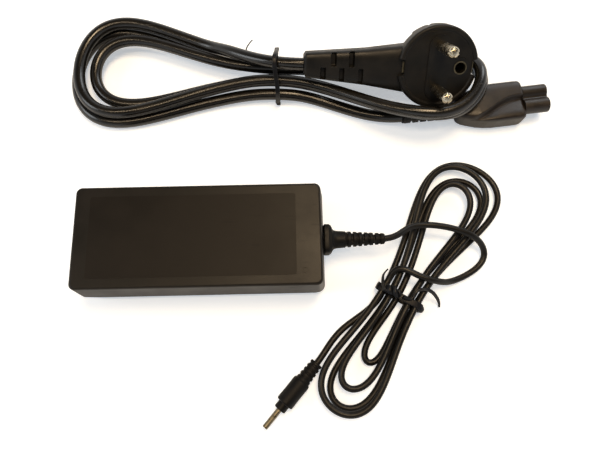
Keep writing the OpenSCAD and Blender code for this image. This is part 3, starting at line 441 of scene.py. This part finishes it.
def tubeFaces(n, m, closed=False):
    # quads between n rings of m points; an open tube has a fan on each end, round the two points that
    # follow the rings
    i, j = np.meshgrid(np.arange(n if closed else n - 1), np.arange(m), indexing="ij")
    ii, jj = (i + 1) % n, (j + 1) % m
    faces = np.stack([i * m + j, i * m + jj, ii * m + jj, ii * m + j], -1).reshape(-1, 4).tolist()
    if not closed:
        j = np.arange(m)
        last = (n - 1) * m
        faces += np.stack([np.full(m, n * m), (j + 1) % m, j], 1).tolist()
        faces += np.stack([np.full(m, n * m + 1), last + j, last + (j + 1) % m], 1).tolist()
    return faces


def closedTube(grid):
    # the mean of each end ring closes it
    n, m = grid.shape[:2]
    return np.vstack([grid.reshape(-1, 3), grid[:1].mean(1), grid[-1:].mean(1)]), tubeFaces(n, m)


def sweep(path, section, gap, flat=None, closed=False, size=None):
    # ring k is the section, in the plane square to the line at point k; its first axis is carried along
    # without twist, or is the given flat direction; size(run) scales the section
    p = np.asarray(path, float) if gap is None else evenly(path, gap)
    along = (np.roll(p, -1, 0) - np.roll(p, 1, 0)) if closed else np.gradient(p, axis=0)
    along /= np.linalg.norm(along, axis=1)[:, None]
    if flat is None:
        side = np.zeros_like(p)
        s = np.cross(along[0], (0, 0, 1.0))
        for k in range(len(p)):
            s = s - along[k] * (s @ along[k])
            s = s / np.linalg.norm(s)
            side[k] = s
    else:
        side = np.broadcast_to(np.asarray(flat, float), p.shape)
        side = side - along * (side * along).sum(1)[:, None]
        side = side / np.linalg.norm(side, axis=1)[:, None]
    other = np.cross(along, side)
    run = np.concatenate([[0], np.cumsum(np.linalg.norm(np.diff(p, axis=0), axis=1))])
    c = np.asarray(section, float)
    k = np.ones((len(p), 2)) if size is None else np.asarray(size(run, run[-1]), float)
    wide = c[None, :, :1] * k[:, None, :1] * side[:, None]
    high = c[None, :, 1:] * k[:, None, 1:] * other[:, None]
    n, m = len(p), len(c)
    faces = tubeFaces(n, m, closed)
    verts = (p[:, None] + wide + high).reshape(-1, 3)
    uv = np.stack([np.repeat(run * mm, m), np.tile(np.arange(m) / m, n)], 1)
    if not closed:
        verts = np.vstack([verts, p[:1], p[-1:]])
        uv = np.vstack([uv, [[0, 0], [run[-1] * mm, 0]]])
    return verts, faces, uv, p


def ovalSection(r, around, flatten=1.0):
    a = 2 * np.pi * np.arange(around) / around
    return np.stack([r * np.cos(a), flatten * r * np.sin(a)], 1)


def turned(profile, start, direction, around=64, wobble=None):
    # a profile of (radius, distance) carried round the axis; the ends close on it
    prof = np.asarray(profile, float)
    d = unit(direction)
    u = unit(np.cross((0, 0, 1.0) if abs(d[2]) < 0.9 else (1.0, 0, 0), d))
    v = np.cross(d, u)
    a = 2 * np.pi * np.arange(around) / around
    r = prof[:, 0][:, None] * np.ones(around)
    if wobble is not None:
        r = r + wobble(prof[:, 1][:, None], a[None, :])
    spoke = np.cos(a)[:, None] * u + np.sin(a)[:, None] * v
    rim = np.asarray(start, float) + r[:, :, None] * spoke + prof[:, 1][:, None, None] * d
    return closedTube(rim)


def joined(*parts):
    # several closed surfaces as one mesh
    verts, faces, count = [], [], 0
    for v, f in parts:
        verts.append(v)
        faces += [[k + count for k in face] for face in f]
        count += len(v)
    return np.vstack(verts), faces


def cordPiece(name, path, c, body, material, replaced):
    verts, faces, uv, line = sweep(path, ovalSection(c["d"] / 2, c["around"]), c["gap"])
    return putMesh(name, verts, faces, body, material, replaced, uv, sharp=60), line


dcPath = eased(dcRoute(), dc["easeGap"], dc["ease"])
acPath = eased(acRoute(), ac["easeGap"], ac["ease"])
dcCord, dcLine = cordPiece("dcCord", dcPath, dc, "adapter", "satinCordPvc",
                           ("dc_cord_lead", "dc_cord_hank", "dc_cord_tail"))
acCord, acLine = cordPiece("mainsCord", acPath, ac, "mains_lead", "glossyCordPvc",
                           ("mains_cord_plug_end", "mains_cord_hank", "mains_cord_connector_end"))


def lengthOf(p):
    return float(np.linalg.norm(np.diff(p, axis=0), axis=1).sum()) * mm


print("low-voltage cord", round(lengthOf(dcPath), 3), "m; mains cord", round(lengthOf(acPath), 3), "m")

cadCopy("topShell", "top_shell", "adapter", "housingAbs")
cadCopy("bottomShell", "bottom_shell", "adapter", "housingAbs")
cadCopy("ratingLabel", "rating_label", "adapter", "labelFilm")
cadCopy("inletSocket", "inlet_socket", "adapter", "couplerNylon")
cadCopy("inletPins", "inlet_pins", "adapter", "nickelPlatedBrass")
print("housing done")

relief = {"at": 53.0, "z": 14.5, "collar": 3.0, "collarHalf": (6.5, 5.5), "long": 24.0, "start": 4.1,
          "end": 2.4, "plain": 6.4, "ribs": 7, "deep": 0.75, "web": 0.94}


def reliefBoot(q):
    # superellipse sections whose corner falls from 5 (the collar) to 2 (the round sleeve); between the
    # ribs the radius dips by a clipped cosine, but for two narrow webs that swap diagonals rib by rib
    end = q["collar"] + q["long"]
    run = np.concatenate([np.linspace(0, q["collar"] + 2, 50), np.linspace(q["collar"] + 2.1, end, 220)])
    past = run - q["collar"]
    fall = smoothStep(-0.1, 1.6, past)
    edge = 0.35 * (1 - smoothStep(-0.05, 0.5, run)) + 0.45 * smoothStep(-0.9, 0, past)
    taper = q["start"] + (q["end"] - q["start"]) * np.clip(past / q["long"], 0, 1)
    taper = taper + 0.4 * (1 - smoothStep(0, 3, past))
    half = [(h - edge) * (1 - fall) + taper * fall for h in q["collarHalf"]]
    corner = 5 - 3 * smoothStep(-0.2, 1.0, past)
    pitch = (q["long"] - q["plain"] - 0.6) / q["ribs"]
    place = (past - q["plain"]) / pitch
    wave = np.clip(1.7 * np.cos(2 * np.pi * (place - 0.3)) - 0.2, 0, 1)
    dip = np.where((place > 0) & (place < q["ribs"]), wave, 0)
    tip = 0.35 * smoothStep(q["long"] - 0.7, q["long"], past) ** 2
    a = 2 * np.pi * np.arange(96) / 96
    c, k = np.cos(a), np.sin(a)
    power = (2 / corner)[:, None]
    grid = np.stack([np.sign(c) * np.abs(c) ** power, np.sign(k) * np.abs(k) ** power], -1)
    odd = (np.floor(place) % 2 == 0)[:, None]
    web = smoothStep(q["web"], 1, np.where(odd, np.abs(c + k), np.abs(c - k)) / math.sqrt(2))
    less = (q["deep"] * dip)[:, None] * (1 - web) + tip[:, None]
    y, z = (grid[..., n] * (half[n][:, None] - less) for n in (0, 1))
    return closedTube(np.stack([np.broadcast_to((q["at"] + run)[:, None], y.shape), y, z + q["z"]], -1))


verts, faces = reliefBoot(relief)
putMesh("dcRelief", verts, faces, "adapter", "bootRubber", ("dc_strain_relief",), sharp=55)
grip = {"neck": 2.8, "neckLong": 10.5, "r": 4.0, "long": 11.5, "nose": 2.7, "noseLong": 3.2, "ribs": 4,
        "deep": 0.42}


def roundEdge(r, end, corner, t):
    # the quarter circle that rounds a turned edge of radius r at the distance end
    return [(r - corner + corner * math.cos(k), end - corner + corner * math.sin(k)) for k in t]


def gripProfile(q):
    # (radius, distance): ribs that swell forwards, a round-shouldered grip with a waist line, the nose
    pitch = (q["neckLong"] - 2) / q["ribs"]
    x = np.linspace(0, q["neckLong"] - 2, 150)
    swell = q["neck"] + 0.12 * x / pitch
    ribs = swell - q["deep"] * np.clip(0.05 - 1.4 * np.cos(2 * np.pi * (x / pitch - 0.31)), 0, 1)
    ribs[0] -= 0.3
    t = np.linspace(0, np.pi / 2, 12)
    foot, rise, last = q["neck"] + 0.5, q["r"] - q["neck"] - 0.5, q["neckLong"] + q["long"]
    shoulder = [(foot, q["neckLong"] - 1.7)]
    shoulder += [(foot + rise * math.sin(k), q["neckLong"] + 0.9 - 1.6 * math.cos(k)) for k in t]
    front = [(q["r"] - 0.08, last - 5), (q["r"], last - 1.6)] + roundEdge(q["r"], last, 0.7, t)
    end = last + q["noseLong"]
    nose = [(q["nose"], last), (q["nose"], end - 0.4)] + roundEdge(q["nose"], end, 0.4, t[1:])
    return np.vstack([[(0.05, 0)], np.stack([ribs, x], 1), shoulder, front, nose, [(1.2, end)]])


verts, faces = turned(gripProfile(grip), dc["plugAt"], dc["plugDir"], 72)
dcGrip = putMesh("dcGrip", verts, faces, "adapter", "bootRubber", ("dc_plug_grip",), sharp=50)
dcBarrel = cadCopy("dcBarrel", "dc_plug_barrel", "adapter", "drawnBarrelBrass")
dcLiner = cadCopy("dcLiner", "dc_plug_insulator", "adapter", "barrelLiner")
print("low-voltage end done")


bagTie = {"at": (86.576, -24.735), "across": (0.848, -0.53), "half": 10.95, "high": 7.4, "wide": 1.5,
          "thick": 0.35, "hook": [(82.5, -23.4, 9.6), (80.6, -22.6, 9.2), (79.3, -21, 8.9),
          (79.1, -17.8, 8.4), (79.9, -14.8, 6.6), (82.2, -12.2, 5.2)], "tail": [(87.5, -25.2, 9.6),
          (91, -26.3, 8.6), (93.6, -23, 9.2), (97.7, -22.1, 8.9), (101, -23.4, 7.6), (103.6, -25.6, 4.6),
          (105, -27.6, 2), (105.2, -29.4, 1)]}


def flatStrip(wide, thick, around=20):
    # a superellipse: nearly a rectangle with soft edges
    a = 2 * np.pi * (np.arange(around) + 0.5) / around
    c, q = np.cos(a), np.sin(a)
    return np.stack([wide * np.sign(c) * np.abs(c) ** 0.5, thick * np.sign(q) * np.abs(q) ** 0.5], 1)


def bothWays(scale):
    # one scale for a section's two axes
    return np.repeat(scale[:, None], 2, 1)


def bagTieParts(t):
    across = np.array([*t["across"], 0])
    along = np.array([-t["across"][1], t["across"][0], 0])
    up = np.array([0, 0, 1.0])
    middle = np.array([*t["at"], 0.35])
    a = 2 * np.pi * np.arange(160) / 160
    x = t["half"] * np.sign(np.cos(a)) * np.abs(np.cos(a)) ** 0.5
    z = t["high"] / 2 * (1 + np.sign(np.sin(a)) * np.abs(np.sin(a)) ** 0.5)
    sway = 0.5 * np.sin(2 * a) * (np.sin(a) > 0)
    ring = middle + x[:, None] * across + z[:, None] * up + sway[:, None] * along
    pinch = lambda run, full: np.stack([1 - 0.3 * np.exp(-((x + 4) / 3) ** 2) * (z > 4), np.ones(len(x))], 1)
    parts = [sweep(ring, flatStrip(t["wide"], t["thick"]), None, flat=along, closed=True, size=pinch)[:2]]

    def swell(run, full):
        return bothWays(0.35 + 0.65 * np.sin(np.pi * np.clip(run / full, 0.02, 0.98)) ** 0.6)

    # two strands twisted round each other make the knot
    turn = np.linspace(0, 1, 40)
    for phase in (0, np.pi):
        w = 2 * np.pi * 1.3 * turn + phase
        knot = (middle + (-7.6 + 7.4 * turn)[:, None] * across + (8.6 + np.sin(np.pi * turn))[:, None] * up
                + (1.15 * np.cos(w))[:, None] * along + (0.8 * np.sin(w))[:, None] * up)
        parts.append(sweep(knot, ovalSection(1.35, 20, 0.8), 0.3, size=swell)[:2])
    # the folded end at the far side, then the hook and the tail, each tapering to its tip
    place = np.linspace(0, 1, 24)
    stub = middle + np.outer(t["half"] - 2.0 + 3.3 * place, across) + np.outer(6.6 - 3.2 * place, up)
    blob = lambda run, full: bothWays(np.sqrt(1 - np.clip(2 * run / full - 1, -0.98, 0.98) ** 2))
    parts.append(sweep(stub, ovalSection(1.75, 24, 0.75), None, flat=along, size=blob)[:2])
    for points in (t["hook"], t["tail"]):
        taper = lambda run, full: np.stack([1 - 0.5 * (run / full) ** 4, 1 - 0.4 * (run / full) ** 2], 1)
        strip = flatStrip(0.95, 0.55)
        parts.append(sweep(spline(points, 8), strip, 0.5, flat=(0.3, 0.4, 0.86), size=taper)[:2])
    return joined(*parts)


verts, faces = bagTieParts(bagTie)
dcTie = putMesh("dcTie", verts, faces, "adapter", "tiePlastic", ("dc_tie",), sharp=50)

# each station is (distance, half width, half height, sideways shift)
handle = {"root": (-13.5, 10.8, 7.0, -1.6), "middle": (-32.5, 8.1, 5.75, -1.0),
          "end": (-61.0, 5.5, 4.9, 0.0), "corner": 4.6, "upper": (13.6, 21.8),
          "lower": (8.8, 17.4, 26.2), "slot": 2.1, "deep": 2.6, "border": 0.55}


def evenAngles(corner, aspect, count):
    # angles at which the points of a rounded-square section lie evenly round it
    a = np.linspace(0, 2 * np.pi, 8001)
    c, q = np.cos(a), np.sin(a)
    x, y = np.sign(c) * np.abs(c) ** (2 / corner), aspect * np.sign(q) * np.abs(q) ** (2 / corner)
    run = np.concatenate([[0], np.cumsum(np.hypot(np.diff(x), np.diff(y)))])
    return np.interp(np.arange(count) / count * run[-1], run, a)


def plugHandle(h):
    # rounded-square sections: half width and half height run linearly between three stations, and
    # windows are pressed into the broad faces, alternately on either side of the middle
    run = np.linspace(h["end"][0], h["root"][0], 180)
    stations = np.array([h["end"], h["middle"], h["root"]])
    wide, high, shift = (np.interp(run, stations[:, 0], stations[:, k]) for k in (1, 2, 3))
    lip = 1 - 0.22 * (1 - smoothStep(0, 1.3, run - run[0])) ** 2
    a = evenAngles(h["corner"], 0.8, 170)
    c, q = np.cos(a), np.sin(a)
    y = wide[:, None] * lip[:, None] * np.sign(c) * np.abs(c) ** (2 / h["corner"])
    z = high[:, None] * lip[:, None] * np.sign(q) * np.abs(q) ** (2 / h["corner"])
    press = np.zeros_like(y)
    for side, places in ((1, h["upper"]), (-1, h["lower"])):
        rim = smoothStep(-0.25, 0.15, side * y - wide[:, None] + h["border"])
        across = smoothStep(0.3, 0.7, side * y) * (1 - rim)
        for at in places:
            away = np.abs(run - run[0] - at)
            window = 1 - smoothStep(h["slot"] / 2 - 0.2, h["slot"] / 2 + 0.15, away)
            press = np.maximum(press, across * window[:, None])
    z = z * (1 - press * h["deep"] / high[:, None] * (np.abs(z) > 0.6 * high[:, None]))
    x = np.broadcast_to(run[:, None], y.shape)
    return closedTube(np.stack([x, y + shift[:, None], z - plug["back"]], -1))


disc = {"r": 18.5, "back": -16.0, "notchDeep": 3.0, "notchHalf": 3.2, "notchFoot": -11.0,
        "pads": (62, 90, 118, 242, 270, 298), "padHalf": 10.5, "padDeep": 0.5, "profile": [(0.05, -16),
        (6, -16), (12.2, -16), (13.6, -15.8), (15.0, -14.9), (16.4, -13.2), (17.4, -11.2), (18.0, -9.6),
        (18.3, -8), (18.5, -6), (18.5, -4), (18.5, -2), (18.5, -1.1), (18.3, -0.5), (17.9, -0.12),
        (17.4, 0), (16.6, 0), (16.3, -0.12), (16.15, -0.4), (15.8, -0.5), (15.4, -0.5), (13.5, -0.5)],
        "wellAt": 10.0, "well": 2.72, "wellFoot": -12.0}


def plugDisc(d):
    # a profile turned round the pins' axis; finger pads stand out on its sides, and two notches are cut
    # to a flat for the side contacts: the radius is the least of the profile and the notch's plane
    prof = np.array(d["profile"], float)
    t = np.linspace(0, len(prof) - 1, 3 * (len(prof) - 1) + 1)
    prof = np.stack([np.interp(t, np.arange(len(prof)), prof[:, k]) for k in (0, 1)], 1)
    face = np.concatenate([np.linspace(13.4, 7.2, 63), np.linspace(6.8, 0.05, 6)])
    prof = np.vstack([prof, np.stack([face, np.full(len(face), prof[-1, 1])], 1)])
    deg = np.arange(480) * 0.75
    away = np.abs((deg[None, :] - np.array(d["pads"])[:, None] + 180) % 360 - 180).min(0)
    pad = 1 - smoothStep(d["padHalf"], d["padHalf"] + 2.5, away)
    z = prof[:, 1][:, None]
    zone = smoothStep(-15.5, -14, z) * (1 - smoothStep(-5.0, -4.2, z))
    side = smoothStep(12, 15, prof[:, 0])[:, None]
    r = prof[:, 0][:, None] - d["padDeep"] * (1 - pad)[None, :] * zone * side
    c, q = np.cos(np.radians(deg)), np.sin(np.radians(deg))
    flat = (d["r"] - d["notchDeep"]) / np.maximum(np.abs(c), 0.2)
    cut = (np.abs(q) * flat < d["notchHalf"])[None, :] & (z > d["notchFoot"])
    r = np.where(cut, np.minimum(r, flat[None, :]), r)
    x, y = r * c, r * q
    well = (np.hypot(x - d["wellAt"], y) < d["well"]) & (z > -1)
    return closedTube(np.stack([x, y, np.where(well, d["wellFoot"], z)], -1))


verts, faces = joined(plugHandle(handle), plugDisc(disc))
putMesh("plugBody", fromPlug(verts), faces, "mains_lead", "mouldedPlugPvc",
        ("mains_plug_body",), sharp=50)
cadCopy("plugCarrier", "mains_plug_carrier", "mains_lead", "pinCarrierPvc")
pin = {"r": 2.4, "l": 19.0, "gap": 19.0, "crimp": 0.55}


def plugPin(p, side):
    # a turned pin with a domed tip, crimped by four short grooves that run in from its edge
    t = np.linspace(0, np.pi / 2, 26)
    dome = np.stack([p["r"] * np.cos(t) ** 0.75, p["l"] - 1.6 + 1.6 * np.sin(t)], 1)
    dome[-1, 0] = 0.02
    shaft = np.stack([np.full(30, p["r"]), np.linspace(0, p["l"] - 1.7, 30)], 1)

    def grooves(z, a):
        start = smoothStep(p["l"] - 2.2, p["l"] - 1.2, z)
        stop = smoothStep(p["l"] - 0.12, p["l"] - 0.02, z)
        return -p["crimp"] * smoothStep(0.9, 0.99, np.abs(np.cos(2 * a))) * start * (1 - stop)

    verts, faces = turned(np.vstack([shaft, dome]), (0, 0, 0), (0, 0, 1), 96, grooves)
    return fromPlug(verts + (0, side * p["gap"] / 2, 0)), faces


verts, faces = joined(plugPin(pin, -1), plugPin(pin, 1))
putMesh("plugPins", verts, faces, "mains_lead", "nickelPlatedBrass",
        ("mains_plug_pins",), sharp=50)
cadCopy("earthClips", "mains_earth_clips", "mains_lead", "contactBrass")
cadCopy("earthSocket", "mains_earth_socket", "mains_lead", "contactBrass")
connRelief = cadCopy("connectorRelief", "connector_relief", "mains_lead", "mouldedPlugPvc",
                     sharp=50)
waist = {"x": (0, 0.5, 1.4, 3, 6, 10, 14, 18, 29, 31.2, 32.2, 32.5), "half": (4.2, 5.0, 5.6, 6.4, 7.4,
         8.6, 9.4, 9.8, 9.8, 9.7, 9.2, 8.4), "high": (3.2, 4.2, 4.9, 5.5, 6.0, 6.4, 6.5, 6.5, 6.5, 6.4,
         6.0, 5.2), "corner": 5.5, "ridgeX": (6, 10, 14, 17.6, 21, 24.5, 28, 33),
         "ridgeY": (-8.4, -7.2, -5.4, -3.4, -1.5, -0.1, 0.6, 0.7), "drop": 2.8}


def connectorShell(w):
    # rounded-square sections along the waist; past the S-shaped ridge the top drops into a scoop, deepest
    # at the ridge and rising again towards the side
    run = np.concatenate([np.linspace(0, 1.4, 12), np.linspace(1.6, 31, 150), np.linspace(31.1, 32.5, 14)])
    half, high = np.interp(run, w["x"], w["half"]), np.interp(run, w["x"], w["high"])
    a = evenAngles(w["corner"], 0.66, 260)
    c, q = np.cos(a), np.sin(a)
    y = half[:, None] * np.sign(c) * np.abs(c) ** (2 / w["corner"])
    z = high[:, None] * np.sign(q) * np.abs(q) ** (2 / w["corner"])
    ridge = np.interp(run, w["ridgeX"], w["ridgeY"])
    ridge = np.convolve(np.pad(ridge, 8, "edge"), np.ones(17) / 17, "valid")[:, None]
    top = smoothStep(0.4, 0.95, z / high[:, None]) * smoothStep(2, 9, run)[:, None]
    low = (1 - smoothStep(-1.0, 1.2, y - ridge)) * top
    rise = np.clip((ridge - y) / np.maximum(ridge + half[:, None], 1.5), 0, 1)
    z = z - w["drop"] * low * (1 - 0.75 * rise)
    return closedTube(np.stack([np.broadcast_to(run[:, None], y.shape), y, z], -1))


verts, faces = connectorShell(waist)
# the connector body and nose take the lighter brown copy of the moulding, whose colour is painted warm sheen
connBody = putMesh("connectorBody", fromConnector(verts), faces, "mains_lead", "connectorPvcPaintedSheen",
                   ("connector_body",), sharp=45)
connNose = cadCopy("connectorNose", "connector_nose", "mains_lead", "connectorPvcPaintedSheen", bevel=0.3)
connContacts = cadCopy("connectorContacts", "connector_contacts", "mains_lead",
                       "nickelPlatedBrass")


wireTie = {"x": 33.0, "y": 85.6, "half": 12.4, "overY": -2.0, "overZ": 22.2, "wide": 1.05, "thick": 0.55,
           "tail": [(33, 88, 0.75), (28, 91.5, 0.45), (22, 97, 0.45), (17.4, 101.9, 0.5),
           (17.3, 104, 2.6), (19, 105.4, 5), (20.8, 106.1, 7)]}


def wireTieParts(t):
    # a closed loop round all strands, then the thin free end led out under the lowest of them
    h, o, z, k = t["half"], t["overY"], t["overZ"], 3.9
    corners = [(-h, 3), (-h, 11.5), (-h + 3, 16.5), (o - 0.92 * k, z + 0.5 * k), (o, z + k),
               (o + 0.92 * k, z + 0.5 * k), (h - 2, 14.2), (h, 10.5), (h, 3), (h - 2.3, 0.75),
               (-h + 2.3, 0.75)]
    ring = np.array([(t["x"], t["y"] + a, b) for a, b in corners])
    n = len(ring)
    ring = spline(np.vstack([ring[-2:], ring, ring[:2]]), 12)[24:24 + 12 * n]
    ring[:, 0] += 0.5 * np.sin(np.arange(len(ring)) * 0.11)
    band = sweep(ring, flatStrip(t["wide"], t["thick"]), None, flat=(1.0, 0, 0), closed=True)[:2]
    taper = lambda run, full: bothWays(1 - 0.4 * (run / full) ** 2)
    tail = sweep(spline(t["tail"], 8), ovalSection(0.42, 12), 0.5, size=taper)[:2]
    return joined(band, tail)


verts, faces = wireTieParts(wireTie)
acTie = putMesh("mainsTie", verts, faces, "mains_lead", "tiePlastic", ("mains_tie",),
                sharp=50)

print("mains lead done")

scene = bpy.context.scene
studio = {"floorDrop": -0.0006, "floorHalf": 3.0, "floorTone": (0.82, 0.88, 0.96, 1),
          "floorGlow": (0.94, 0.97, 1, 1), "seenGlow": 0.44, "mirrorGlow": 0.08, "horizon": 0.95,
          "zenith": 0.05, "lampColour": (1.0, 0.74, 0.46), "stripColour": (1.0, 0.76, 0.5),
          "fillColour": (0.93, 0.97, 1.0), "lamp": (0.14, 0.16, 0.75), "lampAim": (0.04, 0.03, 0.0),
          "lampSize": 0.28, "lampPower": 3.5, "fill": (-0.85, -0.05, 0.6), "fillAim": (0.03, 0, 0),
          "fillSize": 0.5, "fillPower": 2.4, "back": (0.55, 0.85, 0.6), "strip": (-0.1, -0.06, 0.7),
          "stripSize": (0.62, 0.045), "stripPower": 1.5}
floorMesh = bpy.data.meshes.new("floor")
r, z = studio["floorHalf"], studio["floorDrop"]
floorMesh.from_pydata([(-r, -r, z), (r, -r, z), (r, r, z), (-r, r, z)], [], [(0, 1, 2, 3)])
floor = bpy.data.objects.new("floor", floorMesh)
scene.collection.objects.link(floor)
paper = bpy.data.materials.new("whitePaper")
paper.use_nodes = True
tree = paper.node_tree
seen = addNode(tree, "LightPath")
# the eye gets a lift that keeps the paper white; mirror reflections of it stay weaker
glow = addNode(tree, "Math", {0: seen.outputs["Is Glossy Ray"]}, {1: studio["mirrorGlow"]},
               operation="MULTIPLY")
glow = addNode(tree, "Math", {0: seen.outputs["Is Camera Ray"], 2: glow.outputs[0]}, {1: studio["seenGlow"]},
               operation="MULTIPLY_ADD")
shader = tree.nodes["Principled BSDF"]
shader.inputs["Base Color"].default_value = studio["floorTone"]
shader.inputs["Roughness"].default_value = 0.9
shader.inputs["Emission Color"].default_value = studio["floorGlow"]
tree.links.new(glow.outputs[0], shader.inputs["Emission Strength"])
floorMesh.materials.append(paper)


def softbox(name, place, aim, size, power, colour):
    data = bpy.data.lights.new(name, "AREA")
    data.shape, data.size, data.energy, data.color = "DISK", size, power, colour
    lamp = bpy.data.objects.new(name, data)
    scene.collection.objects.link(lamp)
    lamp.location = place
    if aim:
        lamp.rotation_euler = (Vector(aim) - Vector(place)).to_track_quat("-Z", "Y").to_euler()
    return data


softbox("overheadLamp", studio["lamp"], studio["lampAim"], studio["lampSize"], studio["lampPower"],
        studio["lampColour"])
# a long narrow lamp straight overhead draws the thin lines of light along the glossy cord
strip = softbox("stripLamp", studio["strip"], None, 0.1, studio["stripPower"], studio["stripColour"])
strip.shape = "RECTANGLE"
strip.size, strip.size_y = studio["stripSize"]
for name in ("fill", "back"):
    softbox(name + "Box", studio[name], studio["fillAim"], studio["fillSize"], studio["fillPower"],
            studio["fillColour"])
world = bpy.data.worlds.new("studio")
scene.world = world
world.use_nodes = True
tree = world.node_tree
aim = addNode(tree, "TexCoord").outputs["Generated"]
height = addNode(tree, "SeparateXYZ", {"Vector": aim}).outputs[2]
# the room is bright near the horizon and dark overhead
fade = addNode(tree, "MapRange", {"Value": height},
               {"From Min": 0.1, "From Max": 0.75, "To Min": studio["horizon"], "To Max": studio["zenith"]})
back = tree.nodes["Background"]
back.inputs[0].default_value = (1, 1, 1, 1)
tree.links.new(fade.outputs["Result"], back.inputs[1])
scene.view_settings.view_transform = "Standard"
print("floor and light done")
